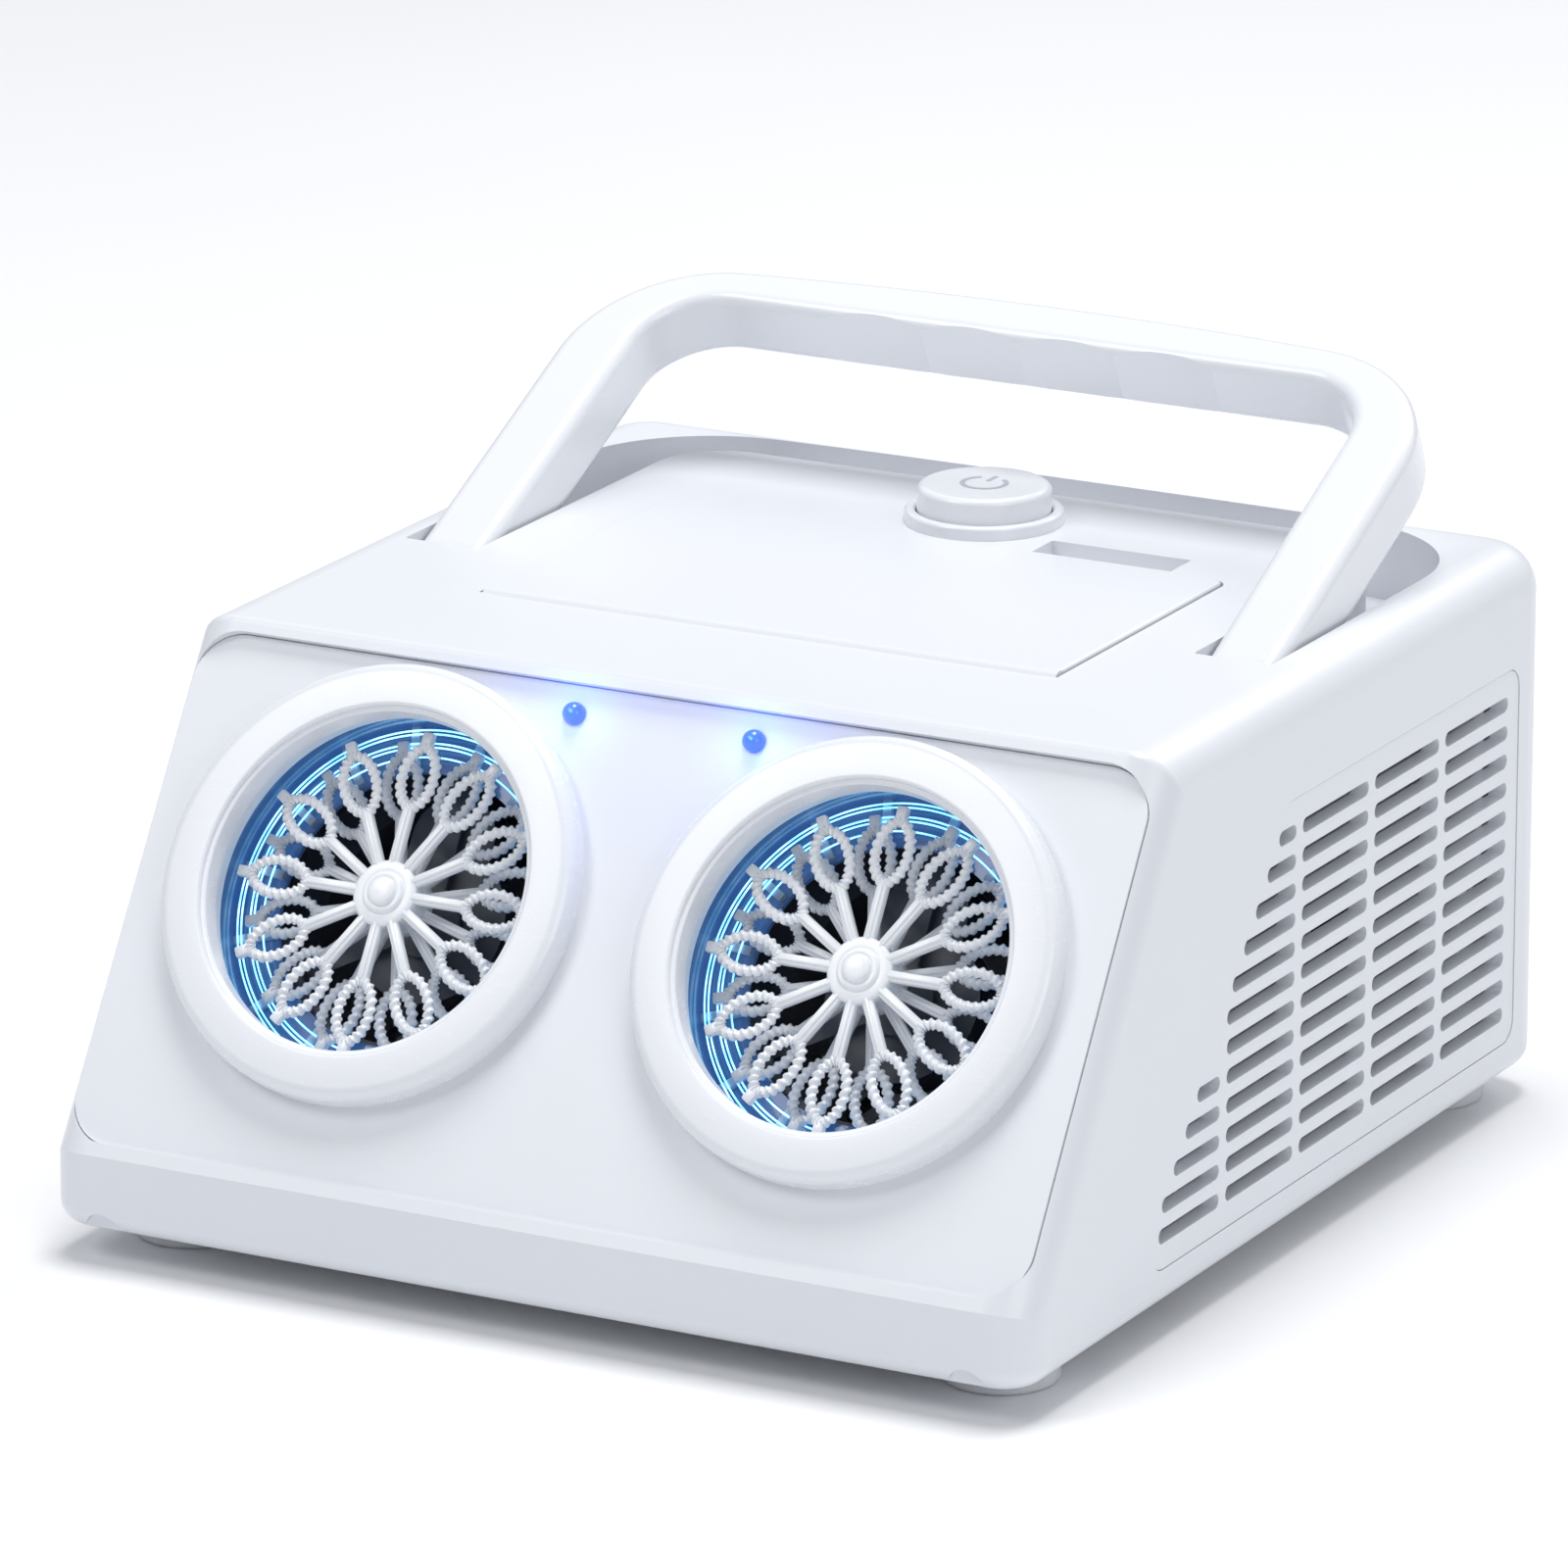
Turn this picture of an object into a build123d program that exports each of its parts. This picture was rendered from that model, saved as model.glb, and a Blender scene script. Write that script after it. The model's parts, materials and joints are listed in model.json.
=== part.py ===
"""Two-mouth bubble machine: housing, tank, bubble wheels, fans, folding handle.

Millimetres, +Z up.  The front faces -Y and +X is on the right of someone who looks at it.
The origin is on the ground, under the middle of the housing.
"""

from build123d import *
from math import atan, cos, pi, radians, sin, sqrt, tan
import os

# --- housing ---------------------------------------------------------------------------
BODY_WIDTH = 235.0
BODY_DEPTH = 258.0
BODY_HEIGHT = 120.0
FOOT_HEIGHT = 7.0
WALL = 2.5
FRONT_WALL = 6.0
PANEL_TILT = 32.6
EDGE_RADIUS = 10.0
REAR_CORNER_RADIUS = 14.0
BROW_RADIUS = 2.0
BOTTOM_EDGE_RADIUS = 5.0
LEAST_RADIUS = 0.6
PARTING_FRONT = 16.0
PARTING_SLOPE = 8.9
LIP_HEIGHT = 3.0
LIP_WALL = 1.4
FIT_GAP = 0.2
OVERLAP = 0.5

# --- front panel and rings -------------------------------------------------------------
MOUTH_SPACING = 114.0
MOUTH_HEIGHT = 73.7
MOUTH_SETBACK = 8.0
RING_RADIUS = 48.5
RING_OPENING = 37.6
RING_THICKNESS = 6.5
RING_ROUND = 2.6
SKIRT_RADIUS = 41.7
SKIRT_WALL = 2.0
SKIRT_DEPTH = 6.0
RIM_HEIGHT = 2.2
RIM_WIDTH = 3.0
FASCIA_THICKNESS = 2.0
LEDGE_WIDTH = 3.0
PANEL_CORNER = 11.0
LED_RADIUS = 2.5
LED_SPACING = 43.2
LED_RISE = 44.0
LED_STALK = 0.6
LED_LENGTH = 5.0
LED_FLANGE = (3.1, 1.0)
LED_BOARD = (53.2, 7.0, 1.6)
LED_BOARD_GAP = 1.1

# --- air ducts -------------------------------------------------------------------------
DUCT_RADIUS = 44.0
DUCT_WALL = 2.0
DUCT_DEPTH = 40.0
DUCT_FLANGE = 46.5
FAN_DUCT_RADIUS = 34.0
FAN_DUCT_END = 76.0
DAM_DEPTH = 20.0
DAM_RADIUS = 29.0
DAM_WALL = 1.8
SPIDER_DEPTH = 25.0
SPIDER_THICKNESS = 4.0
SPIDER_ARM = 5.0
BOSS_RADIUS = 8.0
ARM_COUNT = 3
LIGHT_RING_LENGTH = 11.0
LIGHT_RING_WALL = 1.6
LIGHT_GAP = 0.6

# --- bubble wheels ---------------------------------------------------------------------
WHEEL_RADIUS = 36.3
WHEEL_RECESS = 3.5
WAND_COUNT = 12
WAND_THICKNESS = 3.0
WAND_STEP = 6.6
WAND_LENGTH = 15.5
WAND_WIDTH = 10.4
WAND_WALL = 1.7
SPOKE_WIDTH = 2.6
HUB_RADIUS = 8.0
HUB_BOSS_RADIUS = 4.6
HUB_BOSS_RISE = 1.8
HUB_CAP = 1.0
SHAFT_RADIUS = 1.5
RUNNING_GAP = 0.05

# --- wheel drive -----------------------------------------------------------------------
GEAR_MODULE = 0.8
WHEEL_TEETH = 36
PINION_TEETH = 12
GEAR_WIDTH = 3.0
PRESSURE_ANGLE = 20.0
BACKLASH = 0.24
GEAR_DEDENDUM = 1.25
FLANK_STEPS = 4
COVER_WALL = 1.6
COVER_GAP = 1.0
GEAR_GAP = 1.0
MOTOR_RADIUS = 10.0
MOTOR_LENGTH = 22.0
MOTOR_SHAFT = 1.0
MOTOR_ROUND = 1.5
MOTOR_BOSS = 1.5

# --- fans ------------------------------------------------------------------------------
FAN_RADIUS = 30.5
FAN_HUB_RADIUS = 9.0
FAN_WIDTH = 9.0
FAN_BLADES = 7
FAN_PITCH = 32.0
FAN_START = 62.0
FAN_BLADE_WALL = 1.4
FAN_MOTOR_GAP = 1.0
FAN_CAP = 2.0

# --- side grilles ----------------------------------------------------------------------
GRILLE_REAR_INSET = 19.0
GRILLE_TOP_DROP = 25.0
GRILLE_BOTTOM = 9.0
GRILLE_NOSE_INSET = 53.0
GRILLE_TOE = 8.0
GRILLE_NOSE_HEIGHT = 21.0
GRILLE_SHOULDER_INSET = 115.0
GRILLE_CORNER = 5.0
GRILLE_SHOULDER_RADIUS = 18.0
GRILLE_FLANGE = 3.0
GRILLE_FLANGE_WALL = 1.6
SLOT_ROWS = 12
SLOT_HEIGHT = 3.4
SLOT_MARGIN = 5.5
SLOT_NOSE_MARGIN = 8.8
SLOT_COLUMN = 35.8
SLOT_RIB = 3.2

# --- filling lid and tank --------------------------------------------------------------
LID_WIDTH = 139.0
LID_DEPTH = 83.0
LID_REAR_INSET = 68.0
LID_THICKNESS = 3.0
LID_PROUD = 0.8
LID_GAP = 0.6
LID_CORNER = 4.0
LID_LEDGE = 4.5
LID_FRAME_DEPTH = 4.0
GASKET_DEPTH = 2.4
GASKET_WIDTH = 2.6
REST_GAP = 0.1
LID_BARREL = 2.2
LID_PIN_RADIUS = 1.0
LID_PIN_LENGTH = 17.0
NOTCH_X = 38.0
NOTCH_WIDTH = 34.0
NOTCH_DEPTH = 4.0
NOTCH_REACH = 12.0
TANK_WALL = 2.0
TANK_SHALLOW = 94.0
TANK_DEEP = 55.0
TANK_DEEP_LENGTH = 53.0

# --- power button ----------------------------------------------------------------------
BUTTON_INSET = 48.0
BUTTON_RADIUS = 15.0
BUTTON_PROUD = 8.5
BUTTON_ROUND = 1.6
BUTTON_SKIRT = 7.0
BUTTON_TRAVEL = 1.2
BUTTON_FLANGE = 1.4
COLLAR_RADIUS = 17.8
COLLAR_PROUD = 3.0
COLLAR_SLEEVE = 1.6
COLLAR_ROUND = 0.9
PLUNGER_RADIUS = 3.0
BUTTON_WALL = 2.0
BUTTON_TOP = 3.0
SPRING_RADIUS = 6.0
SPRING_WIRE = 0.45
SPRING_TURNS = 6
SWITCH_SIZE = (6.0, 6.0, 4.0)
SWITCH_STEM = (1.7, 1.0)
BOARD_SIZE = (52.0, 30.0, 1.6)
BOARD_DROP = 15.0
BOARD_POST = 2.5
BOARD_POST_INSET = 4.0

# --- carry handle ----------------------------------------------------------------------
HANDLE_WIDTH = 210.0
HANDLE_ARM = 16.7
HANDLE_THICKNESS = 16.0
HANDLE_REACH = 104.0
HANDLE_GRIP = 13.0
HANDLE_CROWN = 5.0
HANDLE_CORNER = 34.0
HANDLE_ROUND = 3.0
HANDLE_LEAN = 25.8
FINGER_PITCH = 24.0
FINGER_DEPTH = 1.4
FINGER_COUNT = 4
PIVOT_INSET = 112.2
PIN_RADIUS = 2.5
PIN_HOLD = 2.0
RECESS_GAP = 0.9
RECESS_WALL = 2.0

# --- battery compartment and base ------------------------------------------------------
CELL_RADIUS = 7.1
CELL_LENGTH = 49.5
CELL_NUB = (2.7, 1.0)
CELL_ROWS = 3
CELL_LINE = 2
CELL_GAP = 0.6
BOX_WALL = 2.0
BOX_Y = 49.0
FOOT_RADIUS = 12.5
FOOT_PEG = 4.0
FOOT_PEG_RISE = 2.0
FOOT_ROUND = 1.2
FOOT_INSET = 20.0
FOOT_FRONT_INSET = 28.5
FOOT_REAR_INSET = 20.5
SCREW_RADIUS = 1.5
SCREW_HEAD = (3.0, 2.4)
SCREW_INSET = 8.5
SCREW_FRONT_INSET = 81.0
SCREW_REAR_INSET = 29.0
POST_RADIUS = 4.2
SCREW_BITE = 10.0
NOTCH_RADIUS = 4.5
NOTCH_INSET = 14.0
NOTCH_SINK = 2.0
JACK_X = 70.0
JACK_Z = 32.0
JACK_RADIUS = 5.5
JACK_LENGTH = 12.0
JACK_PIN = 1.0
JACK_DROP = 0.4

# --- places worked out from the sizes above --------------------------------------------
HALF_WIDTH = BODY_WIDTH / 2
FRONT = -BODY_DEPTH / 2
REAR = BODY_DEPTH / 2
BASE_Z = FOOT_HEIGHT
DECK_Z = FOOT_HEIGHT + BODY_HEIGHT
MOUTH_Z = FOOT_HEIGHT + MOUTH_HEIGHT
LEAN_COS = cos(radians(PANEL_TILT))
LEAN_SIN = sin(radians(PANEL_TILT))
LEAN_TAN = tan(radians(PANEL_TILT))
RING_REACH = (
    (RING_RADIUS - RING_ROUND) * LEAN_SIN + (RING_THICKNESS - RING_ROUND) * LEAN_COS + RING_ROUND
)
MOUTH_Y = FRONT + MOUTH_SETBACK + RING_REACH
RIM_Y = MOUTH_Y - RIM_HEIGHT * LEAN_COS
RIM_Z = MOUTH_Z + RIM_HEIGHT * LEAN_SIN
FOLD_Z = RIM_Z - (RIM_Y - FRONT) / LEAN_TAN
DECK_FRONT = RIM_Y + (DECK_Z - RIM_Z) * LEAN_TAN
PANEL_LOW = (FOLD_Z - RIM_Z) / LEAN_COS
PANEL_HIGH = (DECK_Z - RIM_Z) / LEAN_COS
BIG = 400.0
NEAR = 0.1

MOTOR_OFFSET = GEAR_MODULE * (WHEEL_TEETH + PINION_TEETH) / 2
SPIDER_BACK = -SPIDER_DEPTH - SPIDER_THICKNESS
GEAR_FRONT = SPIDER_BACK - GEAR_GAP
COVER_BACK = GEAR_FRONT - GEAR_WIDTH - GEAR_GAP - COVER_WALL
REAR_WAND = -WHEEL_RECESS - WAND_STEP
LIGHT_FRONT = -SKIRT_DEPTH - LIGHT_GAP
FAN_MOTOR_FRONT = -FAN_START - FAN_WIDTH - FAN_MOTOR_GAP

SCREW_X = HALF_WIDTH - SCREW_INSET
SCREW_Y = (FRONT + SCREW_FRONT_INSET, REAR - SCREW_REAR_INSET)
GRILLE_REAR = REAR - GRILLE_REAR_INSET
GRILLE_TOP = BODY_HEIGHT - GRILLE_TOP_DROP
GRILLE_NOSE = FRONT + GRILLE_NOSE_INSET
GRILLE_SHOULDER = FRONT + GRILLE_SHOULDER_INSET
LID_REAR = REAR - LID_REAR_INSET
LID_FRONT = LID_REAR - LID_DEPTH
TANK_STEP_Y = LID_REAR - TANK_DEEP_LENGTH
BUTTON_Y = REAR - BUTTON_INSET
PIVOT_Y = REAR - PIVOT_INSET

LEDGE_Z = DECK_Z + LID_PROUD - LID_THICKNESS - REST_GAP
LID_AXIS_Y = LID_FRONT + LID_BARREL
LID_AXIS_Z = DECK_Z + LID_PROUD - LID_BARREL
BOARD_Z = DECK_Z - BOARD_DROP
PIVOT_Z = DECK_Z - HANDLE_THICKNESS / 2


def mouth_frame(side):
    """Frame on one mouth's axis: local z points out of the mouth, y up the front panel."""
    return Plane(
        origin=(side * MOUTH_SPACING / 2, MOUTH_Y, MOUTH_Z),
        x_dir=(1, 0, 0),
        z_dir=(0, -LEAN_COS, LEAN_SIN),
    ).location


def panel_frame():
    """The same frame in the middle of the front panel."""
    return Plane(origin=(0, MOUTH_Y, MOUTH_Z), x_dir=(1, 0, 0), z_dir=(0, -LEAN_COS, LEAN_SIN)).location


def disc(radius, top, height):
    """Cylinder along local z, from its top face down."""
    return Pos(0, 0, top) * Cylinder(radius, height, align=(Align.CENTER, Align.CENTER, Align.MAX))


def tube(outer, inner, top, height):
    """Hollow cylinder along local z, from its top face down."""
    return disc(outer, top, height) - disc(inner, top, height)


def box_between(low, high):
    """Box between two opposite corners."""
    size = [b - a for a, b in zip(low, high)]
    centre = [(a + b) / 2 for a, b in zip(low, high)]
    return Pos(*centre) * Box(*size)


def rod_x(radius, x_low, x_high, y, z):
    """Cylinder along X between two X values."""
    return Pos((x_low + x_high) / 2, y, z) * Rot(0, 90, 0) * Cylinder(radius, x_high - x_low)


# --- housing ---------------------------------------------------------------------------
def body_block(inset, front_inset):
    """Outer form of the housing, drawn in by a wall all round and by more at the sloped front."""
    low = BASE_Z + inset
    high = DECK_Z - inset
    shift = front_inset / LEAN_COS
    front = FRONT + inset
    fold = FOLD_Z - (shift - inset) / LEAN_TAN
    deck_front = DECK_FRONT + shift - inset * LEAN_TAN
    rear = REAR - inset
    outline = Polyline((front, low), (front, fold), (deck_front, high), (rear, high), (rear, low), close=True)
    half = HALF_WIDTH - inset
    block = extrude(Plane.YZ * make_face(outline), half, both=True)
    upright = block.edges().filter_by(Axis.Z).group_by(Axis.Y)
    block = fillet(upright[-1], REAR_CORNER_RADIUS - inset)
    edges = [
        edge
        for edge in block.edges()
        if (abs(edge.center().X) > half - NEAR and edge.center().Z > low + NEAR)
        and edge.center().Y < deck_front - 1
        or (edge.center().Z > high - NEAR and edge.center().Y > deck_front + OVERLAP)
    ]
    block = fillet(edges, EDGE_RADIUS - inset)
    brow = block.edges().sort_by_distance((0, deck_front, high))[0]
    block = fillet(brow, max(BROW_RADIUS - inset, LEAST_RADIUS))
    bottom = [edge for edge in block.edges() if edge.center().Z < low + NEAR]
    return fillet(bottom, max(BOTTOM_EDGE_RADIUS - inset, LEAST_RADIUS))


def above_parting(lift):
    """Everything above the sloped parting plane, raised by lift."""
    plane = Pos(0, FRONT, BASE_Z + PARTING_FRONT + lift) * Rot(PARTING_SLOPE, 0, 0)
    return plane * Box(BIG, 2 * BIG, BIG, align=(Align.CENTER, Align.CENTER, Align.MIN))


def parting_z(y):
    """Height of the parting plane at a Y value."""
    return BASE_Z + PARTING_FRONT + (y - FRONT) * tan(radians(PARTING_SLOPE))


def screw_places():
    """X and Y of each screw that joins the two halves of the housing."""
    return [(side * SCREW_X, y) for side in (-1, 1) for y in SCREW_Y]


def board_posts():
    """X and Y of each post that carries the control board."""
    half_x = BOARD_SIZE[0] / 2 - BOARD_POST_INSET
    half_y = BOARD_SIZE[1] / 2 - BOARD_POST_INSET
    return [(x, BUTTON_Y + y) for x in (-half_x, half_x) for y in (-half_y, half_y)]


def grille_outline(grow):
    """Outline of a side grille in the YZ plane, grown outward by grow."""
    corners = [
        (GRILLE_NOSE + GRILLE_TOE, BASE_Z + GRILLE_BOTTOM),
        (GRILLE_REAR, BASE_Z + GRILLE_BOTTOM),
        (GRILLE_REAR, BASE_Z + GRILLE_TOP),
        (GRILLE_SHOULDER, BASE_Z + GRILLE_TOP),
        (GRILLE_NOSE, BASE_Z + GRILLE_NOSE_HEIGHT),
    ]
    face = make_face(Polyline(*corners, close=True))
    shoulder = [v for v in face.vertices() if abs(v.X - GRILLE_SHOULDER) < NEAR]
    others = [v for v in face.vertices() if abs(v.X - GRILLE_SHOULDER) > NEAR]
    face = fillet(shoulder, GRILLE_SHOULDER_RADIUS)
    others = [v for v in face.vertices() if any(abs(v.X - w.X) + abs(v.Y - w.Y) < NEAR for w in others)]
    face = fillet(others, GRILLE_CORNER)
    return offset(face, grow) if grow else face


def grille_slab(grow, x_low, x_high, side):
    """Grille outline as a slab between two distances from the middle of the housing."""
    slab = extrude(Plane.YZ * grille_outline(grow), x_high - x_low)
    slab = Pos(x_low, 0, 0) * slab
    return slab if side > 0 else mirror(slab, about=Plane.YZ)


def panel_recess(inset, low, high):
    """Slab of the front panel's field between two heights above the panel, inset from its rim."""
    width = BODY_WIDTH - 2 * (RIM_WIDTH + inset)
    bottom = PANEL_LOW + RIM_WIDTH + inset
    top = PANEL_HIGH - RIM_WIDTH - inset
    face = Pos(0, (top + bottom) / 2) * RectangleRounded(width, top - bottom, PANEL_CORNER - inset)
    return panel_frame() * Pos(0, 0, low) * extrude(face, high - low)


def lid_slab(grow, low, high):
    """Slab of the lid's outline, grown by grow, between two heights."""
    face = Pos(0, (LID_FRONT + LID_REAR) / 2) * RectangleRounded(
        LID_WIDTH + 2 * grow, LID_REAR - LID_FRONT + 2 * grow, max(LID_CORNER + grow, LEAST_RADIUS)
    )
    return Pos(0, 0, low) * extrude(face, high - low)


def handle_face():
    """Flat outline of the handle: x across, y out along the arms from the pivot."""
    half = HANDLE_WIDTH / 2
    nose = -HANDLE_THICKNESS / 2
    shoulder = HANDLE_REACH - HANDLE_CROWN
    outer = make_face(
        [
            Polyline((half, shoulder), (half, nose), (-half, nose), (-half, shoulder)),
            ThreePointArc((-half, shoulder), (0, HANDLE_REACH), (half, shoulder)),
        ]
    )
    outer = fillet(outer.vertices().group_by(Axis.Y)[-1], HANDLE_CORNER)
    inner_half = half - HANDLE_ARM
    inner_top = HANDLE_REACH - HANDLE_GRIP
    inner = Pos(0, inner_top / 2 - BIG / 2) * Rectangle(2 * inner_half, inner_top + BIG)
    inner = fillet(inner.vertices().group_by(Axis.Y)[-1], HANDLE_CORNER - HANDLE_ARM)
    return outer - inner


def finger_scallops():
    """Shallow grooves for the fingers along the grip's inner edge, as slabs to cut."""
    span = FINGER_PITCH / 2
    radius = (span**2 + FINGER_DEPTH**2) / (2 * FINGER_DEPTH)
    scallops = []
    for index in range(FINGER_COUNT):
        x = (index - (FINGER_COUNT - 1) / 2) * FINGER_PITCH
        y = HANDLE_REACH - HANDLE_GRIP + FINGER_DEPTH - radius
        scallops.append(Pos(x, y) * Cylinder(radius, 2 * HANDLE_THICKNESS))
    return scallops


def handle_pose(angle):
    """Frame at the handle's pivot, turned up from flat by an angle."""
    return Pos(0, PIVOT_Y, PIVOT_Z) * Rot(angle, 0, 0)


def handle_recess(grow):
    """Space that the folded handle lies in, grown by grow at its walls and floor."""
    face = offset(handle_face(), RECESS_GAP + grow)
    depth = HANDLE_THICKNESS + RECESS_GAP + grow
    return Pos(0, PIVOT_Y, DECK_Z - depth) * extrude(face, depth)


def upper_shell():
    """Upper half of the housing, with its deck openings, handle recess and screw posts."""
    inside = body_block(WALL, FRONT_WALL)
    shell = body_block(0, 0) - inside
    frame = lid_slab(LID_GAP + RECESS_WALL, LEDGE_Z - LID_FRAME_DEPTH, DECK_Z - WALL)
    posts = [Pos(x, y, 0) * disc(POST_RADIUS, DECK_Z - WALL, DECK_Z - WALL) for x, y in screw_places()]
    posts += [Pos(x, y, 0) * disc(BOARD_POST, DECK_Z - WALL, BOARD_DROP - WALL) for x, y in board_posts()]
    shell += frame
    shell += finger_notch(RECESS_WALL) & body_block(WALL / 2, FRONT_WALL)
    shell += handle_recess(RECESS_WALL) & body_block(WALL / 2, FRONT_WALL)
    for post in posts:
        shell += post
    shell &= above_parting(0)
    shell -= handle_recess(0)
    shell -= lid_slab(LID_GAP, LEDGE_Z, DECK_Z + WALL)
    shell -= lid_slab(-LID_LEDGE, LEDGE_Z - 2 * LID_FRAME_DEPTH, DECK_Z + WALL)
    barrel_gap = LID_BARREL + LID_GAP
    half_lid = LID_WIDTH / 2 + LID_GAP
    shell -= rod_x(barrel_gap, -half_lid, half_lid, LID_AXIS_Y, LID_AXIS_Z)
    for side in (-1, 1):
        xs = sorted((side * (LID_WIDTH / 2 - LID_PIN_LENGTH), side * (LID_WIDTH / 2 + RECESS_WALL)))
        shell -= rod_x(LID_PIN_RADIUS, xs[0], xs[1], LID_AXIS_Y, LID_AXIS_Z)
        shell -= handle_pin(side)
    shell -= finger_notch(0)
    sleeve = BUTTON_RADIUS + FIT_GAP + COLLAR_SLEEVE + FIT_GAP
    shell -= Pos(0, BUTTON_Y, DECK_Z) * Cylinder(sleeve, 3 * WALL)
    shell -= panel_recess(0, -FASCIA_THICKNESS, BIG / 10)
    shell -= panel_recess(LEDGE_WIDTH, -2 * FRONT_WALL, BIG / 10)
    for side in (-1, 1):
        shell -= grille_slab(FIT_GAP, HALF_WIDTH - WALL - OVERLAP, HALF_WIDTH + WALL, side)
    for x, y in screw_places():
        shell -= Pos(x, y, parting_z(y)) * Cylinder(SCREW_RADIUS, 2 * SCREW_BITE)
    return shell


def finger_notch(grow):
    """Scoop behind the lid that lets a finger under its rear edge, grown by grow."""
    half = NOTCH_WIDTH / 2 + grow
    scoop = box_between(
        (NOTCH_X - half, LID_REAR - LID_GAP, DECK_Z - NOTCH_DEPTH - grow),
        (NOTCH_X + half, LID_REAR + NOTCH_REACH + grow, DECK_Z),
    )
    return scoop


def base_tray():
    """Lower half of the housing: tray with a lip, screw posts and battery hatch."""
    tray = (body_block(0, 0) - body_block(WALL, FRONT_WALL)) - above_parting(0)
    lip_inset = WALL + FIT_GAP
    lip = body_block(lip_inset, FRONT_WALL + FIT_GAP)
    lip -= body_block(lip_inset + LIP_WALL, FRONT_WALL + FIT_GAP + LIP_WALL)
    lip = (lip & above_parting(-LIP_HEIGHT)) - above_parting(LIP_HEIGHT)
    root = body_block(WALL / 2, FRONT_WALL / 2)
    root -= body_block(lip_inset + LIP_WALL, FRONT_WALL + FIT_GAP + LIP_WALL)
    root = (root & above_parting(-LIP_HEIGHT)) - above_parting(-LIP_HEIGHT / 2)
    tray += lip
    tray += root
    for x, y in screw_places():
        post = Pos(x, y, 0) * disc(POST_RADIUS, parting_z(y), parting_z(y) - BASE_Z - WALL / 2)
        tray += post - above_parting(0)
    for x, y in screw_places():
        tray -= Pos(x, y, 0) * disc(SCREW_RADIUS + FIT_GAP, BIG, BIG)
        tray -= Pos(x, y, 0) * disc(SCREW_HEAD[0] + FIT_GAP, parting_z(y) - SCREW_BITE, BIG)
    for side in (-1, 1):
        tray -= grille_slab(FIT_GAP, HALF_WIDTH - WALL - FIT_GAP, HALF_WIDTH + WALL, side)
        tray -= grille_slab(GRILLE_FLANGE + FIT_GAP, HALF_WIDTH - 3 * WALL, HALF_WIDTH - WALL, side)
        notch = Rot(90, 0, 0) * Cylinder(NOTCH_RADIUS, 2 * NOTCH_SINK)
        tray -= Pos(side * (HALF_WIDTH - NOTCH_INSET), FRONT, BASE_Z) * notch
    for x, y in foot_places():
        tray -= Pos(x, y, BASE_Z) * Cylinder(FOOT_PEG, 4 * WALL)
    size = battery_size()
    tray -= Pos(0, BOX_Y, BASE_Z) * Box(size[0], size[1], 4 * WALL)
    tray -= Pos(JACK_X, REAR, JACK_Z) * Rot(90, 0, 0) * Cylinder(JACK_RADIUS, 4 * WALL)
    return tray


def foot_places():
    """X and Y of each foot."""
    return [
        (side * (HALF_WIDTH - FOOT_INSET), y)
        for side in (-1, 1)
        for y in (FRONT + FOOT_FRONT_INSET, REAR - FOOT_REAR_INSET)
    ]


def feet():
    """Four soft feet, each with a peg through the base."""
    pad = fillet(disc(FOOT_RADIUS, BASE_Z, FOOT_HEIGHT).edges().group_by(Axis.Z)[0], FOOT_ROUND)
    foot = pad + disc(FOOT_PEG, BASE_Z + WALL + FOOT_PEG_RISE, WALL + FOOT_PEG_RISE + OVERLAP)
    return [Pos(x, y, 0) * foot for x, y in foot_places()]


def housing_screws():
    """Screws from under the base into the posts of the upper shell."""
    screws = []
    for x, y in screw_places():
        seat = parting_z(y) - SCREW_BITE
        shank = disc(SCREW_RADIUS, seat + 2 * SCREW_BITE - OVERLAP, 2 * SCREW_BITE - OVERLAP)
        screws.append(Pos(x, y, 0) * (shank + disc(SCREW_HEAD[0], seat, SCREW_HEAD[1])))
    return screws


# --- front panel -----------------------------------------------------------------------
def front_fascia():
    """Field of the front panel, set into the housing's rim, with two round mouths."""
    plate = panel_recess(FIT_GAP, -FASCIA_THICKNESS, 0)
    for side in (-1, 1):
        plate -= mouth_frame(side) * disc(SKIRT_RADIUS + FIT_GAP, BIG / 10, BIG / 5)
        plate -= panel_frame() * Pos(side * LED_SPACING / 2, LED_RISE, 0) * Cylinder(LED_RADIUS, BIG / 10)
    return plate


def front_leds():
    """Two round lamps that stand out of the field between the mouths."""
    dome = Sphere(LED_RADIUS) & disc(LED_RADIUS, LED_RADIUS, LED_RADIUS)
    lamp = disc(LED_RADIUS, LED_STALK, LED_LENGTH) + Pos(0, 0, LED_STALK) * dome
    lamp += disc(LED_FLANGE[0], -FASCIA_THICKNESS - FIT_GAP, LED_FLANGE[1])
    return [panel_frame() * Pos(side * LED_SPACING / 2, LED_RISE, 0) * lamp for side in (-1, 1)]


def mouth_ring():
    """Raised ring round a mouth, with a skirt into the duct."""
    ring = tube(RING_RADIUS, RING_OPENING, RING_THICKNESS, RING_THICKNESS)
    ring = fillet(ring.edges().group_by(Axis.Z)[-1], RING_ROUND)
    return ring + tube(SKIRT_RADIUS, SKIRT_RADIUS - SKIRT_WALL, OVERLAP, SKIRT_DEPTH + OVERLAP)


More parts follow.
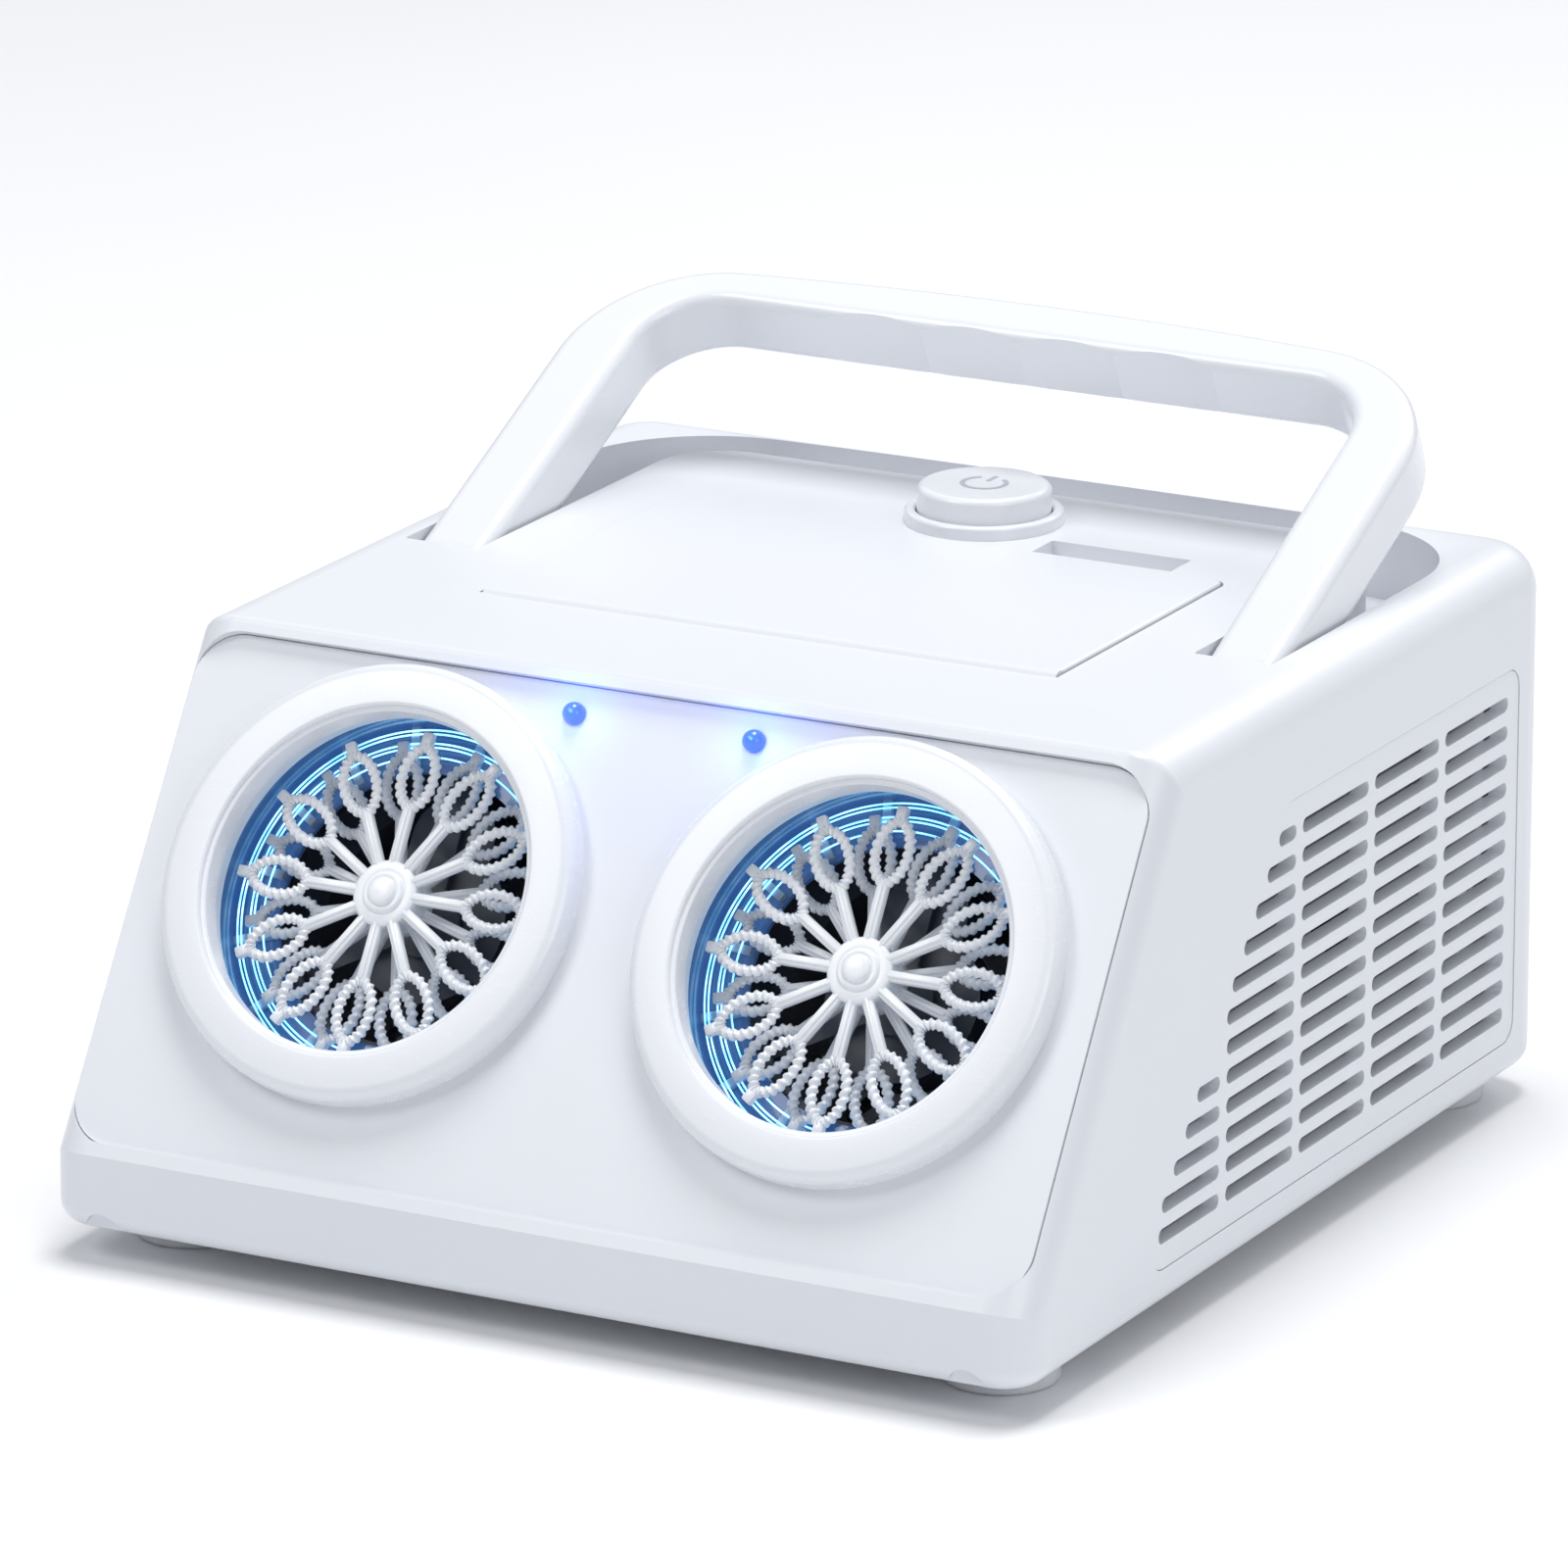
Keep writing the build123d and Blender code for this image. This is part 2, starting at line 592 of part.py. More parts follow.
def duct():
    """Air duct behind a mouth: solution dam, bearing spider and fan tunnel."""
    bore = DUCT_RADIUS - DUCT_WALL
    tunnel = FAN_DUCT_RADIUS - DUCT_WALL
    body = tube(DUCT_RADIUS, bore, -FASCIA_THICKNESS, DUCT_DEPTH - FASCIA_THICKNESS)
    body += tube(DUCT_FLANGE, bore, -FASCIA_THICKNESS, DUCT_WALL)
    body += tube(DUCT_RADIUS, tunnel, DUCT_WALL - DUCT_DEPTH, DUCT_WALL)
    start = -DUCT_DEPTH + DUCT_WALL
    body += tube(FAN_DUCT_RADIUS, tunnel, start, FAN_DUCT_END + start)
    dam = tube(bore + OVERLAP, DAM_RADIUS, -DAM_DEPTH, DAM_WALL)
    body += dam & Pos(0, -BIG / 2 - DAM_RADIUS / 3, 0) * Box(BIG, BIG, BIG)
    body += spider(bore + OVERLAP, -SPIDER_DEPTH, SPIDER_THICKNESS, BOSS_RADIUS, 90)
    plate = extrude(gearbox_outline(0), DUCT_WALL)
    body += Pos(0, 0, SPIDER_BACK) * plate
    body -= disc(SHAFT_RADIUS + RUNNING_GAP, 0, BIG / 4)
    cradle = MOTOR_RADIUS + DUCT_WALL
    body += spider(tunnel + OVERLAP, SPIDER_THICKNESS - FAN_DUCT_END, SPIDER_THICKNESS, cradle, 30)
    return body - disc(MOTOR_RADIUS, FAN_MOTOR_FRONT, BIG / 4)


def spider(reach, top, height, boss, start):
    """Boss on radial arms."""
    body = disc(boss, top, height)
    for index in range(ARM_COUNT):
        arm = Pos(reach / 2, 0, top - height / 2) * Box(reach, SPIDER_ARM, height)
        body += Rot(0, 0, start + index * 360 / ARM_COUNT) * arm
    return body


def light_ring():
    """Clear ring round the duct's wall that spreads the light of its lamps."""
    outer = DUCT_RADIUS - DUCT_WALL - FIT_GAP
    return tube(outer, outer - LIGHT_RING_WALL, LIGHT_FRONT, LIGHT_RING_LENGTH)


# --- bubble wheels ---------------------------------------------------------------------
def wand_star(inner, turn, front):
    """Collar with oval wands round it, its front face at a given depth."""
    middle = WHEEL_RADIUS - SPOKE_WIDTH - WAND_LENGTH / 2
    oval = Ellipse(WAND_LENGTH / 2, WAND_WIDTH / 2)
    oval -= Ellipse(WAND_LENGTH / 2 - WAND_WALL, WAND_WIDTH / 2 - WAND_WALL)
    spoke_end = middle - WAND_LENGTH / 2 + WAND_WALL / 2
    stub_start = middle + WAND_LENGTH / 2 - WAND_WALL / 2
    wand = Pos(middle, 0) * oval
    wand += Pos((HUB_RADIUS - 1 + spoke_end) / 2, 0) * Rectangle(spoke_end - HUB_RADIUS + 1, SPOKE_WIDTH)
    stub = Pos((stub_start + WHEEL_RADIUS) / 2, 0) * Rectangle(WHEEL_RADIUS - stub_start, SPOKE_WIDTH)
    wand += stub
    star = Circle(HUB_RADIUS)
    for index in range(WAND_COUNT):
        star += Rot(0, 0, turn + index * 360 / WAND_COUNT) * wand
    star -= Circle(inner)
    return Pos(0, 0, front - WAND_THICKNESS) * extrude(star, WAND_THICKNESS)


def wheel_front():
    """Front wand star with the hub that carries the rear one."""
    sleeve = (HUB_RADIUS + SHAFT_RADIUS) / 2
    body = wand_star(SHAFT_RADIUS, 0, -WHEEL_RECESS)
    body += disc(HUB_RADIUS, -WHEEL_RECESS, WAND_STEP)
    body += disc(sleeve, -WHEEL_RECESS, WAND_STEP + WAND_THICKNESS)
    body += disc(HUB_BOSS_RADIUS, HUB_BOSS_RISE - WHEEL_RECESS, HUB_BOSS_RISE + OVERLAP)
    return body - disc(SHAFT_RADIUS, -WHEEL_RECESS - HUB_CAP, BIG / 10)


def wheel_rear():
    """Rear wand star, half a step round from the front one."""
    sleeve = (HUB_RADIUS + SHAFT_RADIUS) / 2
    return wand_star(sleeve, 180 / WAND_COUNT, REAR_WAND)


def wheel_shaft():
    """Steel shaft from the wheel's hub through both bearings."""
    top = -WHEEL_RECESS - HUB_CAP
    return disc(SHAFT_RADIUS, top, top - COVER_BACK + OVERLAP)


# --- wheel drive -----------------------------------------------------------------------
def roll_angle(radius, base):
    """Roll of an involute from its base circle out to a radius."""
    return sqrt((radius / base) ** 2 - 1)


def gear_face(teeth, turn):
    """Involute spur gear outline, thinned for backlash."""
    pitch = GEAR_MODULE * teeth / 2
    base = pitch * cos(radians(PRESSURE_ANGLE))
    tip = pitch + GEAR_MODULE
    root = pitch - GEAR_DEDENDUM * GEAR_MODULE
    at_pitch = roll_angle(pitch, base) - radians(PRESSURE_ANGLE)
    half_tooth = pi / (2 * teeth) - BACKLASH / (4 * pitch)
    start = max(base, root)
    flank = []
    for step in range(FLANK_STEPS + 1):
        radius = start + (tip - start) * step / FLANK_STEPS
        roll = roll_angle(radius, base)
        swing = roll - atan(roll)
        flank.append((radius, half_tooth + at_pitch - swing))
    tooth = [(root, flank[0][1])] + flank if start > root else flank
    points = []
    for index in range(teeth):
        middle = radians(turn) + 2 * pi * index / teeth
        for radius, angle in tooth:
            points.append((radius * cos(middle - angle), radius * sin(middle - angle)))
        for radius, angle in reversed(tooth):
            points.append((radius * cos(middle + angle), radius * sin(middle + angle)))
    return make_face(Polyline(*points, close=True))


def wheel_gear():
    """Large gear on the wheel's shaft."""
    face = gear_face(WHEEL_TEETH, 90) - Circle(SHAFT_RADIUS)
    return Pos(0, 0, GEAR_FRONT - GEAR_WIDTH) * extrude(face, GEAR_WIDTH)


def pinion():
    """Small gear on the motor's shaft, meshed with the large one."""
    face = gear_face(PINION_TEETH, -90 + 180 / PINION_TEETH) - Circle(MOTOR_SHAFT + RUNNING_GAP)
    return Pos(0, MOTOR_OFFSET, GEAR_FRONT - GEAR_WIDTH) * extrude(face, GEAR_WIDTH)


def gearbox_outline(inset):
    """Outline of the gear housing round both gears."""
    wheel = GEAR_MODULE * (WHEEL_TEETH / 2 + 1) + COVER_GAP + COVER_WALL - inset
    motor = MOTOR_RADIUS - inset
    neck = Pos(0, MOTOR_OFFSET / 2) * Rectangle(2 * motor, MOTOR_OFFSET)
    return Circle(wheel) + Pos(0, MOTOR_OFFSET) * Circle(motor) + neck


def gear_cover():
    """Cup that closes the gears against the duct's plate and carries the motor."""
    height = SPIDER_BACK - COVER_BACK
    cup = Pos(0, 0, COVER_BACK) * extrude(gearbox_outline(0), height)
    cup -= Pos(0, 0, COVER_BACK + COVER_WALL) * extrude(gearbox_outline(COVER_WALL), height)
    cup -= disc(SHAFT_RADIUS + RUNNING_GAP, 0, BIG / 4)
    return cup - Pos(0, MOTOR_OFFSET, 0) * disc(2 * MOTOR_SHAFT, 0, BIG / 4)


def motor(front):
    """Small motor with its shaft towards the mouth."""
    can = fillet(disc(MOTOR_RADIUS, front, MOTOR_LENGTH).edges().group_by(Axis.Z)[0], MOTOR_ROUND)
    return can + disc(MOTOR_RADIUS / 3, front - MOTOR_LENGTH + OVERLAP, MOTOR_BOSS + OVERLAP)


def gear_motor():
    """Motor that turns the bubble wheel."""
    top = GEAR_FRONT + GEAR_GAP / 3
    shaft = disc(MOTOR_SHAFT, top, top + OVERLAP - COVER_BACK)
    return Pos(0, MOTOR_OFFSET, 0) * (motor(COVER_BACK) + shaft)


def fan():
    """Axial fan that blows through the wheel."""
    hub = disc(FAN_HUB_RADIUS, -FAN_START, FAN_WIDTH)
    chord = FAN_WIDTH / cos(radians(FAN_PITCH))
    length = FAN_RADIUS - FAN_HUB_RADIUS + 1
    body = hub
    for index in range(FAN_BLADES):
        blade = Pos(FAN_HUB_RADIUS - 1 + length / 2, 0, -FAN_START - FAN_WIDTH / 2)
        blade = blade * Rot(FAN_PITCH, 0, 0) * Box(length, FAN_BLADE_WALL, chord)
        body += Rot(0, 0, index * 360 / FAN_BLADES) * blade
    body &= disc(FAN_RADIUS, -FAN_START, FAN_WIDTH)
    return body - disc(MOTOR_SHAFT + RUNNING_GAP, -FAN_START - FAN_CAP, FAN_WIDTH)


def fan_motor():
    """Motor that turns the fan."""
    shaft = disc(MOTOR_SHAFT, -FAN_START - FAN_CAP - OVERLAP, FAN_WIDTH)
    return motor(FAN_MOTOR_FRONT) + shaft


# --- side grilles ----------------------------------------------------------------------
def grille(side):
    """Slotted side panel with a flange inside the housing."""
    outer = HALF_WIDTH - FIT_GAP
    inner = HALF_WIDTH - WALL - GRILLE_FLANGE_WALL
    body = grille_slab(0, HALF_WIDTH - WALL - GRILLE_FLANGE_WALL / 2, outer, side)
    body += grille_slab(GRILLE_FLANGE, inner, HALF_WIDTH - WALL, side)
    return body - grille_slots(side)


def grille_slots(side):
    """Rows of slots, cut into columns by upright ribs and ended on the slanted front edge."""
    top = BASE_Z + GRILLE_TOP - SLOT_MARGIN
    bottom = BASE_Z + GRILLE_BOTTOM + SLOT_MARGIN
    pitch = (top - bottom - SLOT_HEIGHT) / (SLOT_ROWS - 1)
    slant = (GRILLE_SHOULDER - GRILLE_NOSE) / (GRILLE_TOP - GRILLE_NOSE_HEIGHT)
    slots = []
    for row in range(SLOT_ROWS):
        z = bottom + SLOT_HEIGHT / 2 + row * pitch
        nose = GRILLE_NOSE + max(z - BASE_Z - GRILLE_NOSE_HEIGHT, 0) * slant + SLOT_NOSE_MARGIN
        end = GRILLE_REAR - SLOT_MARGIN
        while end - nose > 2 * SLOT_HEIGHT:
            start = max(nose, end - SLOT_COLUMN + SLOT_RIB)
            face = Pos((start + end) / 2, z) * SlotOverall(end - start, SLOT_HEIGHT)
            slots.append(Pos(HALF_WIDTH - 3 * WALL, 0, 0) * extrude(Plane.YZ * face, 4 * WALL))
            end -= SLOT_COLUMN
    cut = Part() + slots
    return cut if side > 0 else mirror(cut, about=Plane.YZ)


# --- lid and tank ----------------------------------------------------------------------
def tank_lid():
    """Filling lid with a hinge barrel along its front edge."""
    low = DECK_Z + LID_PROUD - LID_THICKNESS
    plate = lid_slab(0, low, DECK_Z + LID_PROUD)
    plate = fillet(plate.edges().group_by(Axis.Z)[-1], LID_PROUD)
    plate -= box_between((-BIG, LID_FRONT - WALL, low - WALL), (BIG, LID_AXIS_Y, DECK_Z + 2 * WALL))
    half = LID_WIDTH / 2
    plate += rod_x(LID_BARREL, -half, half, LID_AXIS_Y, LID_AXIS_Z)
    for side in (-1, 1):
        xs = sorted((side * (half - LID_PIN_LENGTH), side * (half + 1)))
        plate -= rod_x(LID_PIN_RADIUS + RUNNING_GAP, xs[0], xs[1], LID_AXIS_Y, LID_AXIS_Z)
    return plate


def lid_pins():
    """Two steel pins that the lid turns on."""
    pins = []
    for side in (-1, 1):
        xs = sorted((side * (LID_WIDTH / 2 - LID_PIN_LENGTH + 1), side * (LID_WIDTH / 2 + RECESS_WALL)))
        pins.append(rod_x(LID_PIN_RADIUS, xs[0], xs[1], LID_AXIS_Y, LID_AXIS_Z))
    return pins


def lid_gasket():
    """Soft frame under the lid that fits the filling opening."""
    top = DECK_Z + LID_PROUD - LID_THICKNESS
    grow = -LID_LEDGE - 2 * FIT_GAP
    return lid_slab(grow, top - GASKET_DEPTH, top) - lid_slab(grow - GASKET_WIDTH, 0, BIG)


def solution_tank():
    """Open tank under the lid: shallow over the ducts and deep behind them."""
    top = LEDGE_Z - LID_FRAME_DEPTH
    half = LID_WIDTH / 2 - LID_LEDGE
    front = LID_FRONT + LID_LEDGE
    rear = LID_REAR - LID_LEDGE
    shallow = BASE_Z + TANK_SHALLOW
    deep = BASE_Z + TANK_DEEP
    wall = TANK_WALL
    body = box_between((-half - wall, front - wall, shallow), (half + wall, rear + wall, top))
    body += box_between((-half - wall, TANK_STEP_Y, deep), (half + wall, rear + wall, top))
    body = fillet(body.edges().filter_by(Axis.Z), TANK_WALL + LID_CORNER / 2)
    flange = 2 * wall
    body += box_between((-half - flange, front - flange, top - wall), (half + flange, rear + flange, top))
    body -= box_between((-half, front, shallow + wall), (half, rear, top + wall))
    return body - box_between((-half, TANK_STEP_Y + wall, deep + wall), (half, rear, top + wall))


# --- power button ----------------------------------------------------------------------
def power_button():
    """Round push cap with a plunger over the switch."""
    top = DECK_Z + BUTTON_PROUD
    low = DECK_Z - BUTTON_SKIRT
    cap = fillet(disc(BUTTON_RADIUS, top, top - low).edges().group_by(Axis.Z)[-1], BUTTON_ROUND)
    cap -= disc(BUTTON_RADIUS - BUTTON_WALL, top - BUTTON_TOP, BIG / 4)
    flange = BUTTON_RADIUS + COLLAR_SLEEVE - FIT_GAP
    cap += tube(flange, BUTTON_RADIUS - BUTTON_WALL, low + BUTTON_FLANGE, BUTTON_FLANGE)
    stem = BOARD_Z + SWITCH_SIZE[2] + SWITCH_STEM[1] + BUTTON_TRAVEL + FIT_GAP
    cap += disc(PLUNGER_RADIUS, top - BUTTON_TOP, top - BUTTON_TOP - stem)
    return Pos(0, BUTTON_Y, 0) * cap


def button_collar():
    """Raised ring round the button with a sleeve through the deck."""
    inner = BUTTON_RADIUS + FIT_GAP
    low = DECK_Z - BUTTON_SKIRT + BUTTON_FLANGE + FIT_GAP
    collar = tube(COLLAR_RADIUS, inner, DECK_Z + COLLAR_PROUD, COLLAR_PROUD)
    collar = fillet(collar.edges().group_by(Axis.Z)[-1], COLLAR_ROUND)
    collar += tube(inner + COLLAR_SLEEVE, inner, DECK_Z + OVERLAP, DECK_Z + OVERLAP - low)
    return Pos(0, BUTTON_Y, 0) * collar


def button_spring():
    """Coil spring between the control board and the cap."""
    top = DECK_Z + BUTTON_PROUD - BUTTON_TOP
    rise = top - BOARD_Z - 2 * SPRING_WIRE
    coil = Helix(pitch=rise / SPRING_TURNS, height=rise, radius=SPRING_RADIUS)
    wire = sweep(Plane(coil @ 0, z_dir=coil % 0) * Circle(SPRING_WIRE), path=coil, is_frenet=True)
    return Pos(0, BUTTON_Y, BOARD_Z + SPRING_WIRE) * wire


def control_board():
    """Circuit board with the switch under the button."""
    board = Pos(0, 0, -BOARD_SIZE[2] / 2) * Box(*BOARD_SIZE)
    board += Pos(0, 0, SWITCH_SIZE[2] / 2) * Box(*SWITCH_SIZE)
    board += disc(SWITCH_STEM[0], SWITCH_SIZE[2] + SWITCH_STEM[1], SWITCH_STEM[1] + OVERLAP)
    return Pos(0, BUTTON_Y, BOARD_Z) * board


def led_board():
    """Narrow board behind the two front lamps."""
    front = LED_STALK - LED_LENGTH - LED_BOARD_GAP
    return panel_frame() * Pos(0, LED_RISE, front - LED_BOARD[2] / 2) * Box(*LED_BOARD)


# --- carry handle ----------------------------------------------------------------------
def carry_handle():
    """U-shaped handle with finger grooves, leaning back on its two pivots."""
    slab = Pos(0, 0, -HANDLE_THICKNESS / 2) * extrude(handle_face(), HANDLE_THICKNESS)
    half = HANDLE_THICKNESS / 2
    nose = rod_x(half, -HANDLE_WIDTH, HANDLE_WIDTH, 0, 0)
    nose += box_between((-HANDLE_WIDTH, 0, -half), (HANDLE_WIDTH, BIG, half))
    slab &= nose
    long_edges = [e for e in slab.edges() if e.center().Y > 1 and abs(e.center().Z) > half - NEAR]
    slab = fillet(long_edges, HANDLE_ROUND)
    for scallop in finger_scallops():
        slab -= scallop
    slab -= rod_x(PIN_RADIUS + RUNNING_GAP, -HANDLE_WIDTH, HANDLE_WIDTH, 0, 0)
    return handle_pose(HANDLE_LEAN) * slab


def handle_pins():
    """Two steel pins that the handle turns on."""
    return [handle_pin(side) for side in (-1, 1)]


def handle_pin(side):
    """Pin through one arm, held in the walls of the recess on both sides."""
    reach = RECESS_GAP + PIN_HOLD
    ends = sorted((side * (HANDLE_WIDTH / 2 - HANDLE_ARM - reach), side * (HANDLE_WIDTH / 2 + reach)))
    return rod_x(PIN_RADIUS, ends[0], ends[1], PIVOT_Y, PIVOT_Z)


# --- battery compartment ---------------------------------------------------------------
def battery_size():
    """Inner length, width and height of the battery box."""
    length = CELL_LINE * (CELL_LENGTH + CELL_NUB[1]) + 4 * CELL_GAP
    width = CELL_ROWS * 2 * CELL_RADIUS + (CELL_ROWS + 1) * CELL_GAP
    return length, width, 2 * CELL_RADIUS + 2 * CELL_GAP


def battery_box():
    """Box over the hatch in the base, open downward."""
    length, width, height = battery_size()
    floor = BASE_Z + WALL
    stand = (Align.CENTER, Align.CENTER, Align.MIN)
    outer = Box(length + 2 * BOX_WALL, width + 2 * BOX_WALL, height + BOX_WALL, align=stand)
    inner = Box(length, width, height, align=stand)
    return Pos(0, BOX_Y, floor) * (outer - inner)


def battery_cells():
    """Round cells in rows, each with its end cap."""
    cells = []
    radius, nub = CELL_NUB
    step = CELL_LENGTH + nub + CELL_GAP
    for row in range(CELL_ROWS):
        for place in range(CELL_LINE):
            y = BOX_Y + (row - (CELL_ROWS - 1) / 2) * (2 * CELL_RADIUS + CELL_GAP)
            x = (place - (CELL_LINE - 1) / 2) * step
            turn = 90 if row % 2 else -90
            cell = Cylinder(CELL_RADIUS, CELL_LENGTH) + Pos(0, 0, CELL_LENGTH / 2) * Cylinder(radius, 2 * nub)
            shift = -nub / 2
            z = BASE_Z + WALL + CELL_GAP + CELL_RADIUS
            cells.append(Pos(x, y, z) * Rot(0, turn, 0) * Pos(0, 0, shift) * cell)
    return cells


def battery_door():
    """Hatch cover, flush with the underside of the base."""
    length, width, _ = battery_size()
    door = box_between(
        (-length / 2 + FIT_GAP, BOX_Y - width / 2 + FIT_GAP, BASE_Z),
        (length / 2 - FIT_GAP, BOX_Y + width / 2 - FIT_GAP, BASE_Z + WALL),
    )
    return door


def dc_jack():
    """Power inlet in the rear wall with a centre pin."""
    socket = Pos(0, 0, JACK_RADIUS / 2) * Cylinder(JACK_RADIUS / 2, JACK_LENGTH)
    body = Cylinder(JACK_RADIUS, JACK_LENGTH) - socket
    body += Pos(0, 0, -JACK_PIN) * Cylinder(JACK_PIN, JACK_LENGTH - 2 * JACK_PIN)
    return Pos(JACK_X, REAR - JACK_LENGTH / 2 - JACK_DROP, JACK_Z) * Rot(-90, 0, 0) * body


def side_nodes(side, name):
    """All nodes of one bubble head, by name."""
    frame = mouth_frame(side)
    makers = {
        "ring": mouth_ring,
        "duct": duct,
        "light_ring": light_ring,
        "wheel_front": wheel_front,
        "wheel_rear": wheel_rear,
        "wheel_shaft": wheel_shaft,
        "wheel_gear": wheel_gear,
        "pinion": pinion,
        "gear_cover": gear_cover,
        "gear_motor": gear_motor,
        "fan": fan,
        "fan_motor": fan_motor,
    }
    nodes = {f"{name}_{part}": frame * make() for part, make in makers.items()}
    nodes[f"{name}_grille"] = grille(side)
    return nodes


def all_nodes():
    """Every node of the machine, by name."""
    nodes = {
        "upper_shell": upper_shell(),
        "base_tray": base_tray(),
        "front_fascia": front_fascia(),
        "front_leds": front_leds(),
        "led_board": led_board(),
        "tank_lid": tank_lid(),
        "lid_pins": lid_pins(),
        "lid_gasket": lid_gasket(),
        "solution_tank": solution_tank(),
        "power_button": power_button(),
        "button_collar": button_collar(),
        "button_spring": button_spring(),
        "control_board": control_board(),
        "carry_handle": carry_handle(),
        "handle_pins": handle_pins(),
        "battery_box": battery_box(),
        "battery_cells": battery_cells(),
        "battery_door": battery_door(),
        "feet": feet(),
        "housing_screws": housing_screws(),
        "dc_jack": dc_jack(),
    }
    nodes.update(side_nodes(-1, "left"))
    nodes.update(side_nodes(1, "right"))
    return nodes


def main():
    """Write one STEP file per node."""
    os.makedirs("parts", exist_ok=True)
    for name, shape in all_nodes().items():
        solids = shape if isinstance(shape, list) else [shape]
        node = Compound(children=[solid for item in solids for solid in item.solids()])
        node.label = name
        export_step(node, f"parts/{name}.step")
    print("handle pivot", PIVOT_Y, PIVOT_Z)
    print("lid axis", LID_AXIS_Y, LID_AXIS_Z)
    print("mouth", MOUTH_Y, MOUTH_Z, "motor offset", MOTOR_OFFSET)


if __name__ == "__main__":
    main()
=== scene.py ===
"""Bubble machine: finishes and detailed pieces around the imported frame."""

import json
import logging
import math
from dataclasses import dataclass, field
from enum import Enum
from typing import Optional, Sequence

import bmesh
import bpy
from mathutils import Matrix, Vector

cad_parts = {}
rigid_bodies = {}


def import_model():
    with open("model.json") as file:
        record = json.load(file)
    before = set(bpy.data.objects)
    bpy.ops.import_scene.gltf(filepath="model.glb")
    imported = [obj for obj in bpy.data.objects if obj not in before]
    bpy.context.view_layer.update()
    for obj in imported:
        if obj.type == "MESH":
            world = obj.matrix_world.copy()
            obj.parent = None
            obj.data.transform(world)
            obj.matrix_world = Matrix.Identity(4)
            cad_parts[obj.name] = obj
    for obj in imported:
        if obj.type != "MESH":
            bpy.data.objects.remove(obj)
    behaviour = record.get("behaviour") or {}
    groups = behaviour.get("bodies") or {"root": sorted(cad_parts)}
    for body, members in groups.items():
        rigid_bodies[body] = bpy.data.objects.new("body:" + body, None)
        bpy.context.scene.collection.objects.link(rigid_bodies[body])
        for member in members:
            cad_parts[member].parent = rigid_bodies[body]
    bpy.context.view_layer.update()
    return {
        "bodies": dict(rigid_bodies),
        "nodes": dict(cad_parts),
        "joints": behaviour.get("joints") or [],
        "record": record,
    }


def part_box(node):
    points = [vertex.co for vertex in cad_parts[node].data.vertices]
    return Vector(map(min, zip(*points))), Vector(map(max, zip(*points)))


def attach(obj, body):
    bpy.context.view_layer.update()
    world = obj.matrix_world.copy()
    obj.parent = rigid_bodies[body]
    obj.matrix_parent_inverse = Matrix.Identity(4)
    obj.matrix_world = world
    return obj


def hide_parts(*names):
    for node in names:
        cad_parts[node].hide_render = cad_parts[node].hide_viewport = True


log = logging.getLogger("bubble_machine")
MM = 0.001
WELD_DISTANCE = 0.0005  # in the form's millimetres
RING_TURN, GUIDE_TURN, HUB_TURN = 192, 144, 72  # segments round a turn
Point = tuple[float, float, float]
Colour = tuple[float, float, float]


class Side(Enum):
    """The two bubble heads, seen from the front."""

    LEFT = "left"
    RIGHT = "right"


# --- shader maths ----------------------------------------------------------------------
class Value:
    """A socket that adds Math nodes when it is used in an expression."""

    def __init__(self, tree: bpy.types.NodeTree, socket: bpy.types.NodeSocket) -> None:
        """Wraps one output socket of a tree."""
        self.tree = tree
        self.socket = socket

    def _math(self, operation: str, first: "Value | float", second: "Value | float") -> "Value":
        """Adds one Math node.

        Args:
            operation: The Math node's operation.
            first: Its first input.
            second: Its second input.

        Returns:
            The node's output.
        """
        node = self.tree.nodes.new("ShaderNodeMath")
        node.operation = operation
        for slot, item in enumerate((first, second)):
            if isinstance(item, Value):
                self.tree.links.new(item.socket, node.inputs[slot])
            else:
                node.inputs[slot].default_value = item
        return Value(self.tree, node.outputs[0])

    def __add__(self, other: "Value | float") -> "Value":
        """Sum."""
        return self._math("ADD", self, other)

    __radd__ = __add__

    def __sub__(self, other: "Value | float") -> "Value":
        """Difference."""
        return self._math("SUBTRACT", self, other)

    def __rsub__(self, other: float) -> "Value":
        """Difference from a number."""
        return self._math("SUBTRACT", other, self)

    def __mul__(self, other: "Value | float") -> "Value":
        """Product."""
        return self._math("MULTIPLY", self, other)

    def over(self, limit: float) -> "Value":
        """One where the value is above a limit, else zero."""
        return self._math("GREATER_THAN", self, limit)

    def power(self, exponent: float) -> "Value":
        """The value raised to a power."""
        return self._math("POWER", self, exponent)


